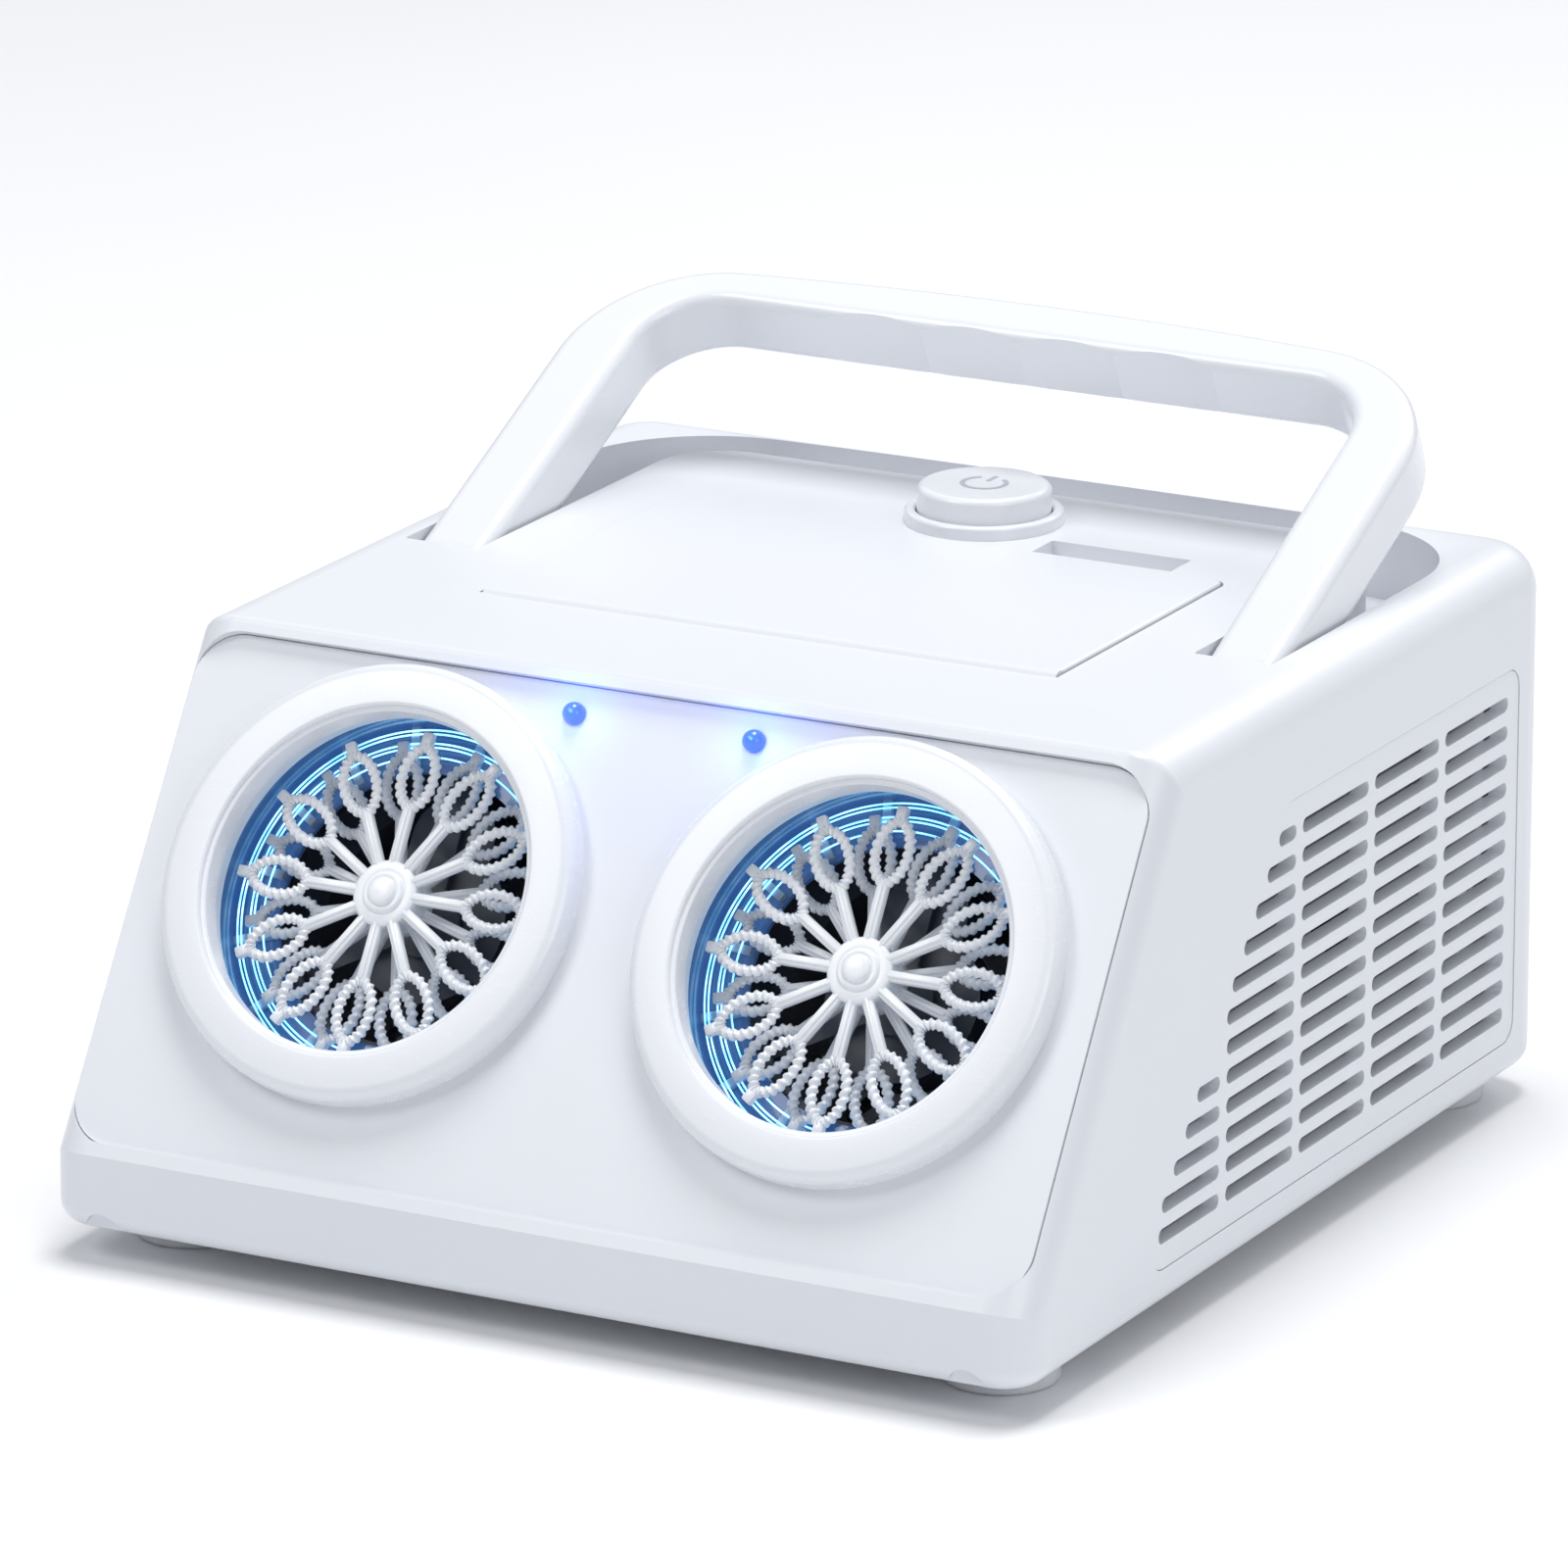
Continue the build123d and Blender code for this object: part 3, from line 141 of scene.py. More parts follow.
class Surface:
    """One material under construction, around its Principled shader."""

    def __init__(self, name: str) -> None:
        """Starts an empty node material.

        Args:
            name: The material's name.
        """
        self.material = bpy.data.materials.new(name)
        self.material.use_nodes = True
        self.tree = self.material.node_tree
        self.shader = self.tree.nodes["Principled BSDF"]

    def node(self, kind: str, settings: dict, inputs: dict, output: int | str = 0) -> Value:
        """Adds any node.

        Args:
            kind: The node's type.
            settings: Its properties.
            inputs: Values or links of its sockets, by name or number.
            output: The output that the result wraps.

        Returns:
            The wrapped output.
        """
        made = self.tree.nodes.new(kind)
        for key, value in settings.items():
            setattr(made, key, value)
        for key, value in inputs.items():
            socket = made.inputs[key]
            if isinstance(value, Value):
                self.tree.links.new(value.socket, socket)
            else:
                socket.default_value = value
        return Value(self.tree, made.outputs[output])

    def place(self, scale: Point = (1.0, 1.0, 1.0)) -> Value:
        """Object coordinates, stretched by a scale along each axis."""
        where = self.node("ShaderNodeTexCoord", {}, {}, "Object")
        return self.node("ShaderNodeMapping", {}, {"Vector": where, "Scale": scale})

    def noise(self, scale: float, detail: float = 3.0, where: Optional[Value] = None) -> Value:
        """Noise between 0 and 1, with its scale in repeats per metre."""
        where = where or self.place()
        inputs = {"Vector": where, "Scale": scale, "Detail": detail}
        return self.node("ShaderNodeTexNoise", {}, inputs, "Fac")

    def mix(self, amount: Value, low: Colour, high: Colour) -> Value:
        """Colour between two, by a mask."""
        inputs = {0: amount, 6: (*low, 1.0), 7: (*high, 1.0)}
        return self.node("ShaderNodeMix", {"data_type": "RGBA"}, inputs, 2)

    def bump(self, height: Value, strength: float, distance: float) -> Value:
        """Normal from a height field, its distance in metres."""
        inputs = {"Height": height, "Strength": strength, "Distance": distance}
        return self.node("ShaderNodeBump", {}, inputs)

    def set(self, **values: object) -> None:
        """Sets sockets of the shader, with underscores for the spaces in their names."""
        for key, value in values.items():
            socket = self.shader.inputs[key.replace("_", " ")]
            if isinstance(value, Value):
                self.tree.links.new(value.socket, socket)
            else:
                socket.default_value = value


def tint(colour: Colour, amount: float) -> Colour:
    """A colour scaled in brightness."""
    return tuple(channel * amount for channel in colour)


@dataclass(frozen=True)
class MouldedPlastic:
    """Injection-moulded plastic: even colour, fine spark-eroded grain, soft scuffs."""

    name: str
    colour: Colour
    roughness: float = 0.34
    coat: float = 0.25
    grain: float = 0.02
    grain_scale: float = 2600.0
    drift: float = 0.035
    milkiness: float = 0.0
    cloud_scale: float = 14.0
    scuff_scale: float = 120.0
    scuff_depth: float = 0.10
    grain_depth: float = 0.06
    coat_roughness: float = 0.22

    def build(self) -> bpy.types.Material:
        """Makes the material."""
        skin = Surface(self.name)
        cloud = skin.noise(self.cloud_scale, 2.0)
        grain = skin.noise(self.grain_scale, 2.0)
        scuff = skin.noise(self.scuff_scale, 4.0, skin.place((1.0, 1.0, 3.0)))
        wear = (scuff - 0.5) * self.scuff_depth
        skin.set(
            Base_Color=skin.mix(cloud, tint(self.colour, 1.0 - self.drift), self.colour),
            Roughness=self.roughness + wear + (grain - 0.5) * self.grain_depth,
            Coat_Weight=self.coat,
            Coat_Roughness=self.coat_roughness,
            Subsurface_Weight=self.milkiness,
            Subsurface_Scale=0.004,
            Subsurface_Radius=(1.0, 1.0, 1.0),
            Normal=skin.bump(grain, 0.35, self.grain * MM),
        )
        return skin.material


@dataclass(frozen=True)
class LitPlastic:
    """Clear plastic lit from inside, with brighter bands."""

    name: str
    colour: Colour
    light: Colour
    strength: float
    bands: float = 260.0
    whiteness: float = 0.4

    def build(self) -> bpy.types.Material:
        """Makes the material."""
        skin = Surface(self.name)
        swirl = skin.noise(self.bands, 1.0, skin.place((0.4, 1.0, 1.0)))
        bright = swirl.power(2.0)
        kept = 1.0 - self.whiteness
        hot = tuple(channel * kept + self.whiteness for channel in self.light)
        glow = skin.mix(bright, tint(self.light, 0.55), hot)
        skin.set(
            Base_Color=skin.mix(swirl, self.colour, tint(self.colour, 0.85)),
            Roughness=0.16 + swirl * 0.10,
            Emission_Color=glow,
            Emission_Strength=self.strength,
            Coat_Weight=0.5,
        )
        return skin.material


@dataclass(frozen=True)
class TurnedMetal:
    """Metal with fine tool marks."""

    name: str
    colour: Colour
    roughness: float = 0.28
    marks: Point = (1.0, 1.0, 18.0)
    mark_scale: float = 420.0
    stain_scale: float = 70.0

    def build(self) -> bpy.types.Material:
        """Makes the material."""
        skin = Surface(self.name)
        marks = skin.noise(self.mark_scale, 3.0, skin.place(self.marks))
        stain = skin.noise(self.stain_scale, 2.0)
        skin.set(
            Base_Color=skin.mix(stain, tint(self.colour, 0.82), self.colour),
            Metallic=1.0,
            Roughness=self.roughness + marks * 0.18,
            Normal=skin.bump(marks, 0.25, 0.02 * MM),
        )
        return skin.material


@dataclass(frozen=True)
class SoftRubber:
    """Matt rubber with a faint bloom."""

    name: str
    colour: Colour
    bloom_scale: float = 300.0
    pore_scale: float = 3200.0

    def build(self) -> bpy.types.Material:
        """Makes the material."""
        skin = Surface(self.name)
        bloom = skin.noise(self.bloom_scale, 4.0)
        pores = skin.noise(self.pore_scale, 1.0)
        skin.set(
            Base_Color=skin.mix(bloom, tint(self.colour, 0.88), self.colour),
            Roughness=0.62 + bloom * 0.16,
            Normal=skin.bump(pores, 0.4, 0.03 * MM),
        )
        return skin.material


@dataclass(frozen=True)
class BoardLacquer:
    """Circuit board lacquer with copper tracks under it."""

    name: str
    colour: Colour = (0.010, 0.085, 0.045)
    track: Colour = (0.03, 0.17, 0.09)
    cell_scale: float = 240.0
    edge_gain: float = 9.0
    track_limit: float = 0.55

    def build(self) -> bpy.types.Material:
        """Makes the material."""
        skin = Surface(self.name)
        settings = {"feature": "DISTANCE_TO_EDGE"}
        inputs = {"Vector": skin.place(), "Scale": self.cell_scale}
        edge = skin.node("ShaderNodeTexVoronoi", settings, inputs, "Distance")
        mask = (1.0 - edge * self.edge_gain).over(self.track_limit)
        skin.set(
            Base_Color=skin.mix(mask, self.colour, self.track),
            Roughness=0.24 + mask * 0.08,
            Coat_Weight=0.6,
            Normal=skin.bump(mask, 0.4, 0.04 * MM),
        )
        return skin.material


FINISHES = (
    MouldedPlastic("white_shell", (0.79, 0.81, 0.85), 0.34, 0.25),
    MouldedPlastic("white_gloss", (0.83, 0.85, 0.885), 0.22, 0.50, grain=0.008),
    MouldedPlastic("ring_white", (0.84, 0.86, 0.895), 0.26, 0.40, grain=0.010),
    # duct_white: the white duct is painted near-black, as painted shade for the shaded inside of
    # the mouths
    MouldedPlastic("duct_white", (0.085, 0.09, 0.105), 0.42, 0.15),
    MouldedPlastic("wand_white", (0.88, 0.90, 0.93), 0.24, 0.55, grain=0.012),
    MouldedPlastic("gear_white", (0.76, 0.74, 0.66), 0.42, 0.05),
    MouldedPlastic("fan_grey", (0.030, 0.032, 0.040), 0.40, 0.15),
    MouldedPlastic("clear_white", (0.70, 0.74, 0.78), 0.20, 0.40, milkiness=0.10),
    MouldedPlastic("black_plastic", (0.015, 0.015, 0.018), 0.42, 0.10),
    MouldedPlastic("cell", (0.05, 0.12, 0.28), 0.25, 0.60, grain=0.004),
    MouldedPlastic("engraved", (0.42, 0.44, 0.50), 0.50, 0.0),
    SoftRubber("foot_rubber", (0.72, 0.73, 0.75)),
    SoftRubber("soft_seal", (0.55, 0.57, 0.60)),
    TurnedMetal("steel", (0.62, 0.63, 0.65)),
    TurnedMetal("brass", (0.72, 0.52, 0.22), 0.30),
    TurnedMetal("motor_can", (0.55, 0.56, 0.58), 0.34, (1.0, 1.0, 6.0)),
    BoardLacquer("board"),
    LitPlastic("blue_light", (0.10, 0.24, 0.70), (0.10, 0.38, 1.0), 0.8),
    LitPlastic("blue_arc", (0.40, 0.80, 1.0), (0.16, 0.62, 1.0), 2.6),
    LitPlastic("blue_lamp", (0.05, 0.12, 0.80), (0.02, 0.07, 1.0), 2.4, 90.0, 0.04),
    LitPlastic("light_well", (0.03, 0.10, 0.26), (0.02, 0.10, 0.30), 0.35, 40.0, 0.1),
    MouldedPlastic("light_rib", (0.46, 0.54, 0.66), 0.30, 0.30),
)


class FinishShelf:
    """All finishes by name, ready to be put on pieces."""

    def __init__(self) -> None:
        """Builds every finish once."""
        self.materials = {finish.name: finish.build() for finish in FINISHES}

    def dress(self, thing: bpy.types.Object, finish: str) -> None:
        """Puts one finish on a whole object.

        Args:
            thing: The object.
            finish: The finish's name.
        """
        material = self.materials[finish]
        if not thing.material_slots:
            thing.data.materials.append(material)
        for material_slot in thing.material_slots:
            material_slot.material = material

    def dress_frame(self, frame: dict) -> None:
        """Gives each node of the frame its slot's finish.

        Args:
            frame: The loaded frame.
        """
        slots = {part["node"]: part["material_slot"] for part in frame["record"]["subparts"]}
        for name, node in frame["nodes"].items():
            self.dress(node, slots[name])
            log.info("node %s wears %s", name, slots[name])


# --- shaping ---------------------------------------------------------------------------
def edges_of(verts: Sequence[bmesh.types.BMVert]) -> list[bmesh.types.BMEdge]:
    """Edges that meet any of some vertices, each once and always in the same order."""
    return list(dict.fromkeys(edge for vert in verts for edge in vert.link_edges))


class Form:
    """A mesh under construction, in millimetres about its own axes."""

    def __init__(self) -> None:
        """Starts an empty mesh."""
        self.bm = bmesh.new()

    def lathe(self, outline: Sequence[tuple[float, float]], steps: int) -> "Form":
        """Spins a closed outline of (radius, height) points round z.

        Args:
            outline: The outline's points, in order.
            steps: Segments round the turn.

        Returns:
            This form.
        """
        verts = [self.bm.verts.new((radius, 0.0, height)) for radius, height in outline]
        edges = [self.bm.edges.new(pair) for pair in zip(verts, verts[1:] + verts[:1])]
        bmesh.ops.spin(
            self.bm, geom=verts + edges, cent=(0, 0, 0), axis=(0, 0, 1),
            angle=math.tau, steps=steps, use_merge=True, use_duplicate=False,
        )
        return self

    def bar(
        self, low: Point, high: Point, bevel: float = 0.0, segments: int = 2
    ) -> list[bmesh.types.BMVert]:
        """Adds a box between two corners, its edges rounded.

        Args:
            low: Lowest corner.
            high: Highest corner.
            bevel: Radius of its edges.
            segments: Segments of the rounding.

        Returns:
            The box's vertices.
        """
        size = [b - a for a, b in zip(low, high)]
        centre = [(a + b) / 2 for a, b in zip(low, high)]
        matrix = Matrix.Translation(centre) @ Matrix.Diagonal((*size, 1.0))
        before = set(self.bm.verts)
        made = bmesh.ops.create_cube(self.bm, size=1.0, matrix=matrix)
        if bevel:
            edges = edges_of(made["verts"])
            bmesh.ops.bevel(
                self.bm, geom=edges, offset=bevel, offset_type="OFFSET", segments=segments,
                profile=0.5, affect="EDGES", clamp_overlap=True, material=-1,
            )
        return [vert for vert in self.bm.verts if vert not in before]

    def repeat(self, verts: Sequence[bmesh.types.BMVert], count: int) -> "Form":
        """Copies some geometry evenly round z.

        Args:
            verts: Its vertices.
            count: How many there are in the end.

        Returns:
            This form.
        """
        chosen = set(verts)
        edges = [edge for edge in self.bm.edges if all(vert in chosen for vert in edge.verts)]
        faces = [face for face in self.bm.faces if all(vert in chosen for vert in face.verts)]
        for index in range(1, count):
            made = bmesh.ops.duplicate(self.bm, geom=list(verts) + edges + faces)
            copies = [item for item in made["geom"] if isinstance(item, bmesh.types.BMVert)]
            turn = Matrix.Rotation(math.tau * index / count, 3, "Z")
            bmesh.ops.rotate(self.bm, verts=copies, cent=(0, 0, 0), matrix=turn)
        return self

    def turn(self, degrees: float) -> "Form":
        """Turns the whole form round z."""
        turn = Matrix.Rotation(math.radians(degrees), 3, "Z")
        bmesh.ops.rotate(self.bm, verts=self.bm.verts, cent=(0, 0, 0), matrix=turn)
        return self

    def finish(self, name: str, place: Matrix, smooth: float = 35.0) -> bpy.types.Object:
        """Makes the object, with its place in its mesh.

        Args:
            name: The piece's name.
            place: Its place in the frame, in metres.
            smooth: Angle above which an edge stays sharp, in degrees.

        Returns:
            The object, at the origin.
        """
        bmesh.ops.remove_doubles(self.bm, verts=self.bm.verts, dist=WELD_DISTANCE)
        bmesh.ops.recalc_face_normals(self.bm, faces=self.bm.faces)
        bmesh.ops.transform(self.bm, verts=self.bm.verts, matrix=place @ Matrix.Scale(MM, 4))
        limit = math.radians(smooth)
        for face in self.bm.faces:
            face.smooth = True
        for edge in self.bm.edges:
            edge.smooth = len(edge.link_faces) == 2 and edge.calc_face_angle(0.0) < limit
        mesh = bpy.data.meshes.new(name)
        self.bm.to_mesh(mesh)
        self.bm.free()
        thing = bpy.data.objects.new(name, mesh)
        bpy.context.scene.collection.objects.link(thing)
        return thing


def arc(
    radius: float, centre: tuple[float, float], start: float, end: float, steps: int = 6
) -> list[tuple[float, float]]:
    """Points of a round in a lathe outline.

    Args:
        radius: Its radius.
        centre: Its centre as (radius, height).
        start: First angle in degrees.
        end: Last angle in degrees.
        steps: Number of chords.

    Returns:
        The points, in order.
    """
    across, up = centre
    angles = [math.radians(start + (end - start) * step / steps) for step in range(steps + 1)]
    return [(across + radius * math.cos(a), up + radius * math.sin(a)) for a in angles]


@dataclass
class Joint:
    """Place and direction of one joint of the frame."""

    origin: Vector
    axis: Vector

    @classmethod
    def of(cls, frame: dict, name: str) -> "Joint":
        """Reads a joint from the frame."""
        row = next(joint for joint in frame["joints"] if joint["name"] == name)
        return cls(Vector(row["pos_m"]), Vector(row["axis"]).normalized())

    def matrix(self) -> Matrix:
        """Axes at the joint: z along its axis and x across the machine."""
        across = Vector((1.0, 0.0, 0.0))
        upward = self.axis.cross(across)
        turn = Matrix((across, upward, self.axis)).transposed()
        return Matrix.Translation(self.origin) @ turn.to_4x4()


@dataclass
class BubbleHead:
    """One mouth: its ring, the lit light guide, the ribbed wheel and the fan.

    Sizes are in millimetres, heights along the mouth's axis from the panel's face.
    """

    side: Side
    shelf: FinishShelf
    frame: dict
    place: Matrix = field(init=False)
    ring_radius: float = 48.5
    ring_opening: float = 37.6
    ring_height: float = 6.5
    ring_round: float = 2.6
    lip_width: float = 2.0
    lip_middle: float = 1.7
    lip_step: float = 1.0
    lip_round: float = 0.5
    throat_round: float = 0.4
    skirt_radius: float = 41.7
    skirt_inner: float = 39.7
    skirt_depth: float = 6.0
    wheel_radius: float = 36.3
    front_star: float = -5.0
    rear_star: float = -11.6
    wand_count: int = 12
    loop_middle: float = 26.3
    loop_length: float = 6.7
    loop_width: float = 3.8
    loop_pinch: float = 0.10
    rope_radius: float = 1.22
    rope_sides: int = 10
    rope_strands: int = 22
    rope_steps: int = 132
    rope_lay: float = 1.5
    rope_base: float = 0.90
    rope_swell: float = 0.20
    rope_softness: float = 0.6
    spoke_width: float = 2.5
    spoke_low: float = 1.2
    spoke_high: float = 1.0
    spoke_overlap: float = 0.4
    spoke_bevel: float = 0.5
    ridge_width: float = 0.9
    ridge_high: float = 1.4
    ridge_bevel: float = 0.25
    hub_radius: float = 7.4
    hub_bore: float = 4.9
    hub_centre: float = 0.02
    hub_half: float = 1.5
    hub_tail: float = 3.4
    light_outer: float = 41.8
    light_inner: float = 30.5
    light_mouth: float = -6.7
    light_front: float = -14.0
    light_back: float = -17.2
    light_wall: float = 1.2
    rib_count: int = 15
    rib_turn: float = 7.0
    rib_half: float = 1.0
    rib_inset: float = 0.6
    rib_bury: float = 0.3
    rib_below_arcs: float = 0.4
    rib_bevel: float = 0.3
    arc_radii: tuple[float, ...] = (33.4, 35.6, 36.5, 38.6, 39.5)
    arc_radius: float = 0.22
    arc_sides: int = 8
    fan_radius: float = 30.3
    fan_hub: float = 9.0
    fan_depth: float = 9.0
    fan_blades: int = 7
    fan_bore: float = 1.06
    fan_wall: float = 1.2
    fan_round: float = 1.6
    fan_cup: float = 6.0
    blade_half: float = 0.6
    blade_root: float = 0.8
    blade_chord: float = 5.4
    blade_reach: float = 4.4
    blade_camber: float = 1.5
    camber_half: float = 4.7
    blade_sweep: float = 5.0
    root_pitch: float = 48.0
    pitch_fall: float = 20.0
    chord_share: float = 0.86

    def build(self) -> None:
        """Makes every piece of the head."""
        self.place = Joint.of(self.frame, f"{self.side.value}_wheel_spin").matrix()
        self.make_ring()
        self.make_light()
        self.make_wheel("front", self.front_star, 0.0)
        self.make_wheel("rear", self.rear_star, 180.0 / self.wand_count)
        self.make_fan()

    def depth_of(self, part: str) -> float:
        """Height of a node's middle along the mouth's axis, in millimetres."""
        low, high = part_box(self.name(part))
        middle = (Vector(low) + Vector(high)) / 2
        return (self.place.inverted() @ middle).z / MM

    def name(self, part: str) -> str:
        """Full name of a part of this head."""
        return f"{self.side.value}_{part}"

    def settle(
        self, thing: bpy.types.Object, body: str, finish: str, slot: str, *nodes: str
    ) -> None:
        """Dresses a piece and ties it to the frame.

        Args:
            thing: The piece.
            body: The body it rides on.
            finish: Its finish.
            slot: The record's slot it stands for; not used.
            nodes: The nodes it replaces.
        """
        self.shelf.dress(thing, finish)
        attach(thing, body)
        if nodes:
            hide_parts(*nodes)
        log.info("made %s on %s", thing.name, body)

    def make_ring(self) -> None:
        """Raised ring with a rounded rim, a stepped lip and its skirt."""
        top, opening = self.ring_height, self.ring_opening
        rim = (self.ring_radius - self.ring_round, top - self.ring_round)
        lip = (opening + self.lip_middle, top - self.lip_round)
        throat = (opening + self.throat_round, top - self.lip_step - self.throat_round)
        outline = [
            (self.ring_radius, 0.0),
            *arc(self.ring_round, rim, 0, 90),
            (opening + self.lip_width, top),
            *arc(self.lip_round, lip, 90, 180, 3),
            (opening + self.lip_middle - self.lip_round, top - self.lip_step),
            *arc(self.throat_round, throat, 90, 180, 3),
            (opening, self.throat_round),
            (opening + self.throat_round, 0.0),
            (self.skirt_inner, 0.0),
            (self.skirt_inner, -self.skirt_depth),
            (self.skirt_radius, -self.skirt_depth),
            (self.skirt_radius, 0.0),
        ]
        thing = Form().lathe(outline, RING_TURN).finish(self.name("mouth_ring"), self.place)
        self.settle(thing, "housing", "ring_white", "ring_white", self.name("ring"))

    def make_light(self) -> None:
        """Clear light guide: a dark blue trough, pale ribs across it and bright arcs."""
        trough = Form()
        back, mouth = self.light_back, self.light_mouth
        floor, wall = back + self.light_wall, self.light_outer - self.light_wall
        outline = [
            (self.light_outer, mouth),
            (self.light_outer, back),
            (self.light_inner, back),
            (self.light_inner, floor),
            (wall, floor),
            (wall, mouth),
        ]
        trough.lathe(outline, GUIDE_TURN)
        thing = trough.finish(self.name("light_guide"), self.place)
        self.settle(thing, "housing", "light_well", "blue_light", self.name("light_ring"))
        ribs = Form()
        low = (self.light_inner + self.rib_inset, -self.rib_half, floor - self.rib_bury)
        high = (wall + self.rib_bury, self.rib_half, self.light_front - self.rib_below_arcs)
        ribs.repeat(ribs.bar(low, high, self.rib_bevel), self.rib_count)
        ribs.turn(self.rib_turn)
        thing = ribs.finish(self.name("light_ribs"), self.place)
        self.settle(thing, "housing", "light_rib", "clear_white")
        arcs = Form()
        last = self.arc_sides - 1
        end = 360 * last / self.arc_sides
        for radius in self.arc_radii:
            section = arc(self.arc_radius, (radius, self.light_front), 0, end, last)
            arcs.lathe(section, GUIDE_TURN)
        thing = arcs.finish(self.name("light_arcs"), self.place, 180.0)
        self.settle(thing, "housing", "blue_arc", "blue_light")

    def rope_loop(self, form: Form, depth: float) -> list[bmesh.types.BMVert]:
        """Adds one oval wand of twisted rope section.

        Args:
            form: The form to add it to.
            depth: Height of its middle.

        Returns:
            Its vertices.
        """
        before = set(form.bm.verts)
        length, width = self.loop_length, self.loop_width
        upright = Matrix.Translation((length, 0, 0)) @ Matrix.Rotation(math.pi / 2, 4, "X")
        made = bmesh.ops.create_circle(
            form.bm, segments=self.rope_sides, radius=self.rope_radius, matrix=upright
        )
        edges = edges_of(made["verts"])
        bmesh.ops.spin(
            form.bm, geom=made["verts"] + edges, cent=(0, 0, 0), axis=(0, 0, 1),
            angle=math.tau, steps=self.rope_steps, use_merge=True, use_duplicate=False,
        )
        verts = [vert for vert in form.bm.verts if vert not in before]
        for vert in verts:
            around = math.atan2(vert.co.y, vert.co.x)
            outward = math.hypot(vert.co.x, vert.co.y) - length
            about = math.atan2(vert.co.z, outward)
            wave = math.cos(self.rope_strands * around + self.rope_lay * about)
            bulge = (abs(wave) ** self.rope_softness) * math.copysign(1.0, wave)
            swell = self.rope_base + self.rope_swell * bulge
            pinch = 1.0 - self.loop_pinch * math.cos(around) ** 4
            centre = Vector((length * math.cos(around), width * pinch * math.sin(around), 0.0))
            normal = Vector((width * math.cos(around), length * math.sin(around), 0.0)).normalized()
            vert.co = centre + normal * outward * swell + Vector((0, 0, vert.co.z * swell))
        bmesh.ops.translate(form.bm, verts=verts, vec=(self.loop_middle, 0, depth))
        return verts

    def make_wheel(self, which: str, depth: float, turn: float) -> None:
        """One star of rope loops on spokes, with the stepped hub on the front one.

        Args:
            which: The star's name.
            depth: Height of its middle.
            turn: Its turn against the front star, in degrees.
        """
        form = Form()
        half = self.spoke_width / 2
        start = self.hub_radius - 1.0
        near = self.loop_middle - self.loop_length
        far = self.loop_middle + self.loop_length
        low, high = depth - self.spoke_low, depth + self.spoke_high
        overlap, bevel, ridge = self.spoke_overlap, self.spoke_bevel, self.ridge_width / 2
        parts = self.rope_loop(form, depth)
        parts += form.bar((start, -half, low), (near + overlap, half, high), bevel)
        crest = (near - overlap, ridge, depth + self.ridge_high)
        parts += form.bar((start, -ridge, depth), crest, self.ridge_bevel)
        parts += form.bar((far - overlap, -half, low), (self.wheel_radius, half, high), bevel)
        form.repeat(parts, self.wand_count)
        form.turn(turn)
        self.make_hub(form, which, depth)
        thing = form.finish(self.name(f"bubble_wheel_{which}"), self.place, 40.0)
        node = self.name(f"wheel_{which}")
        self.settle(thing, self.name("wheel"), "wand_white", "wand_white", node)

    def make_hub(self, form: Form, which: str, depth: float) -> None:
        """Hub of a star, stepped and domed at the front.

        Args:
            form: The star's form.
            which: The star's name.
            depth: Height of its middle.
        """
        radius, bore = self.hub_radius, self.hub_bore
        low, high = depth - self.hub_half, depth + self.hub_half
        if which == "front":
            tail = low - self.hub_tail
            # From the nose over two rounded steps to the shoulder, then down to the tail.
            outline = [
                (self.hub_centre, depth + 3.3),
                (1.6, depth + 3.25),
                *arc(0.8, (2.4, depth + 2.4), 80, 0, 4),
                (3.3, depth + 2.0),
                *arc(0.7, (4.1, high), 80, 0, 4),
                (bore, depth + 1.3),
                *arc(0.9, (radius - 0.9, depth + 0.5), 85, 0, 4),
                (radius, tail),
                (self.hub_centre, tail),
            ]
        else:
            outline = [(bore, high), (radius, high), (radius, low), (bore, low)]
        form.lathe(outline, HUB_TURN)

    def make_fan(self) -> None:
        """Axial fan with swept, twisted blades round a cupped hub."""
        form = Form()
        middle = self.depth_of("fan")
        form.repeat(self.fan_blade(form, middle), self.fan_blades)
        front, back = middle + self.fan_depth / 2, middle - self.fan_depth / 2
        inner = self.fan_hub - self.fan_wall
        crown = (self.fan_hub - self.fan_round, front - self.fan_round)
        outline = [
            (self.fan_bore, front),
            *arc(self.fan_round, crown, 90, 0, 4),
            (self.fan_hub, back),
            (inner, back),
            (inner, back + self.fan_cup),
            (self.fan_bore, back + self.fan_cup),
        ]
        form.lathe(outline, HUB_TURN)
        thing = form.finish(self.name("fan_rotor"), self.place)
        self.settle(thing, self.name("fan"), "fan_grey", "fan_grey", self.name("fan"))

    def fan_blade(self, form: Form, middle: float) -> list[bmesh.types.BMVert]:
        """Adds one blade: a thin plate, cut finely and bent vertex by vertex.

        Args:
            form: The form, still empty.
            middle: Height of the fan's middle.

        Returns:
            The blade's vertices.
        """
        half, chord = self.blade_half, self.blade_chord
        low = (self.fan_hub - self.blade_root, -half, -chord)
        form.bar(low, (self.fan_radius, half, chord))
        for direction, cuts in ((0, 9), (2, 5)):
            ends = ((edge, *edge.verts) for edge in form.bm.edges)
            spans = [edge for edge, a, b in ends if abs(a.co[direction] - b.co[direction]) > 1.0]
            bmesh.ops.subdivide_edges(form.bm, edges=spans, cuts=cuts, use_grid_fill=True)
        for vert in form.bm.verts:
            vert.co = self.bent(vert.co) + Vector((0.0, 0.0, middle))
        return list(form.bm.verts)

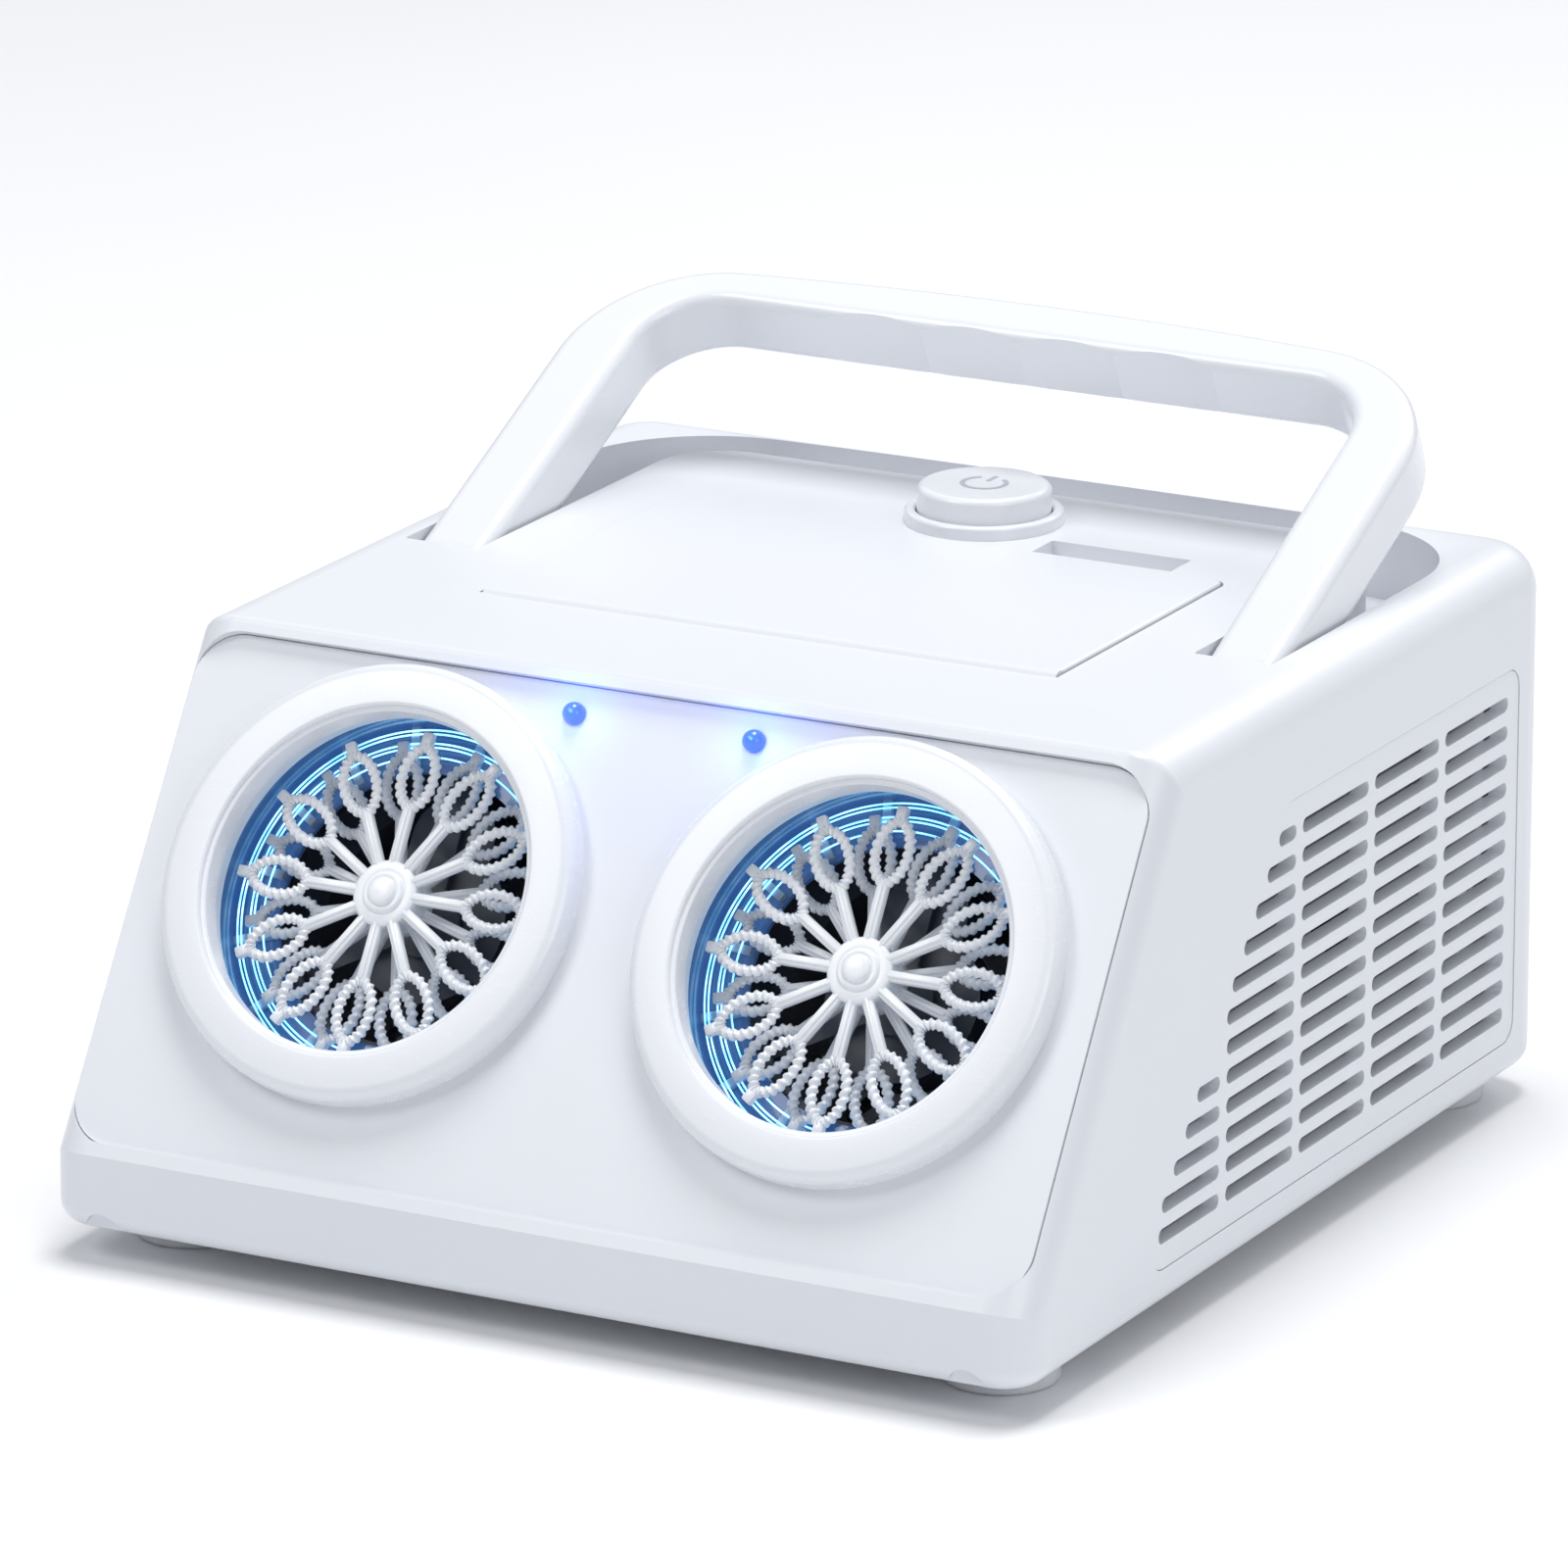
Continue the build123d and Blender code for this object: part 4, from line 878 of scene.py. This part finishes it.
    def bent(self, point: Vector) -> Vector:
        """Where a point of the flat blade goes on the swept, twisted one."""
        share = (point.x - self.fan_hub) / (self.fan_radius - self.fan_hub)
        pitch = math.radians(self.root_pitch - self.pitch_fall * share)
        along = point.z * self.chord_share
        camber = point.y + self.blade_camber * (1.0 - (along / self.camber_half) ** 2)
        y = camber * math.cos(pitch) + along * math.sin(pitch) + self.blade_sweep * share**2
        z = -camber * math.sin(pitch) + along * math.cos(pitch)
        lean = math.asin(min(abs(y) / self.fan_radius, 0.9))
        reach = min(point.x, self.fan_radius * math.cos(lean))
        return Vector((reach, y, max(-self.blade_reach, min(self.blade_reach, z))))


@dataclass
class ButtonMark:
    """Power sign sunk into the button's cap: a broken ring and a short bar, in millimetres."""

    shelf: FinishShelf
    radius: float = 4.9
    width: float = 1.15
    gap: float = 68.0
    proud: float = 0.08
    sunk: float = 0.3
    bar_start: float = 1.6
    bar_past: float = 1.2
    bar_bevel: float = 0.05

    def build(self) -> None:
        """Makes the sign on top of the cap."""
        low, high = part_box("power_button")
        top = Vector(((low[0] + high[0]) / 2, (low[1] + high[1]) / 2, high[2]))
        form = Form()
        half, foot = self.width / 2, -self.sunk
        outline = [(-half, foot), (half, foot), (half, self.proud), (-half, self.proud)]
        verts = [form.bm.verts.new((self.radius + x, 0.0, z)) for x, z in outline]
        face = form.bm.faces.new(verts)
        span = math.radians(360.0 - self.gap)
        start = math.radians(90.0 + self.gap / 2)
        turn = Matrix.Rotation(start, 3, "Z")
        bmesh.ops.rotate(form.bm, verts=verts, cent=(0, 0, 0), matrix=turn)
        bmesh.ops.spin(
            form.bm, geom=[face], cent=(0, 0, 0), axis=(0, 0, 1), angle=span, steps=48,
            use_merge=False, use_duplicate=False,
        )
        end = (half, self.radius + self.bar_past, self.proud)
        form.bar((-half, self.bar_start, foot), end, self.bar_bevel, 1)
        thing = form.finish("button_power_sign", Matrix.Translation(top))
        self.shelf.dress(thing, "engraved")
        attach(thing, "button")
        log.info("made %s", thing.name)


@dataclass
class Studio:
    """Floor, lights, world and camera, in metres."""

    floor_reach: float = 6.0
    camera_at: Point = (1.0951, -2.0668, 0.7983)
    target: Point = (0.0068, -0.0260, 0.0955)
    lens: float = 259.2
    sensor: float = 36.0
    sight: float = 50.0
    world_colour: Colour = (0.90, 0.93, 1.0)
    world_strength: float = 0.36
    led_colour: Colour = (0.05, 0.16, 1.0)
    led_power: float = 0.007
    led_size: float = 0.002
    led_inset: float = 0.0031
    led_ahead: float = 0.004
    led_above: float = 0.002

    def build(self) -> None:
        """Makes everything that isn't part of the machine."""
        self.floor()
        self.world()
        self.lamp("key", (-1.3, -1.5, 2.2), 1.0, 15.0)
        self.lamp("fill", (1.9, -1.1, 1.0), 1.2, 9.0)
        self.lamp("back", (0.4, 1.7, 1.7), 1.2, 12.0)
        self.lamp("overhead", (0.0, 0.25, 2.4), 1.0, 38.0)
        self.led_glow()
        self.camera()
        bpy.context.scene.view_settings.view_transform = "Standard"

    def led_glow(self) -> None:
        """Blue pools of light on the panel round the two front lamps."""
        low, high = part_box("front_leds")
        for side, x in (("left", low[0]), ("right", high[0])):
            data = bpy.data.lights.new(f"{side}_led_glow", "POINT")
            data.color = self.led_colour
            data.energy = self.led_power
            data.shadow_soft_size = self.led_size
            glow = bpy.data.objects.new(f"{side}_led_glow", data)
            inward = math.copysign(self.led_inset, -x)
            glow.location = (x + inward, low[1] - self.led_ahead, high[2] + self.led_above)
            bpy.context.scene.collection.objects.link(glow)

    def floor(self) -> None:
        """Pale floor, a little satin."""
        form = Form()
        bmesh.ops.create_grid(form.bm, x_segments=8, y_segments=8, size=self.floor_reach / MM)
        thing = form.finish("floor", Matrix.Identity(4))
        skin = Surface("studio_floor")
        cloud = skin.noise(3.0, 2.0)
        skin.set(
            Base_Color=skin.mix(cloud, (0.88, 0.885, 0.895), (0.90, 0.905, 0.915)),
            Roughness=0.55 + cloud * 0.1,
        )
        thing.data.materials.append(skin.material)

    def world(self) -> None:
        """Even pale surroundings."""
        world = bpy.data.worlds.new("studio")
        world.use_nodes = True
        background = world.node_tree.nodes["Background"]
        background.inputs["Color"].default_value = (*self.world_colour, 1.0)
        background.inputs["Strength"].default_value = self.world_strength
        bpy.context.scene.world = world

    def aimed(self, place: Point) -> Matrix:
        """Matrix of a thing that stands at a place and looks at the machine."""
        aim = Vector(self.target) - Vector(place)
        return Matrix.Translation(place) @ aim.to_track_quat("-Z", "Y").to_matrix().to_4x4()

    def lamp(self, name: str, place: Point, size: float, power: float) -> None:
        """Soft square light aimed at the machine.

        Args:
            name: Its name.
            place: Where it stands.
            size: Its side.
            power: Its power in watts.
        """
        data = bpy.data.lights.new(name, "AREA")
        data.size = size
        data.energy = power
        lamp = bpy.data.objects.new(name, data)
        lamp.matrix_world = self.aimed(place)
        bpy.context.scene.collection.objects.link(lamp)

    def camera(self) -> None:
        """Long lens from the front right, slightly above."""
        data = bpy.data.cameras.new("camera")
        data.lens = self.lens
        data.sensor_width = self.sensor
        data.clip_end = self.sight
        camera = bpy.data.objects.new("camera", data)
        camera.matrix_world = self.aimed(self.camera_at)
        bpy.context.scene.collection.objects.link(camera)
        bpy.context.scene.camera = camera


def main() -> None:
    """Builds the machine around the frame."""
    logging.basicConfig(level=logging.INFO, format="%(name)s: %(message)s")
    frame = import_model()
    shelf = FinishShelf()
    shelf.dress_frame(frame)
    for side in Side:
        BubbleHead(side, shelf, frame).build()
    ButtonMark(shelf).build()
    Studio().build()


if __name__ == "__main__":
    main()
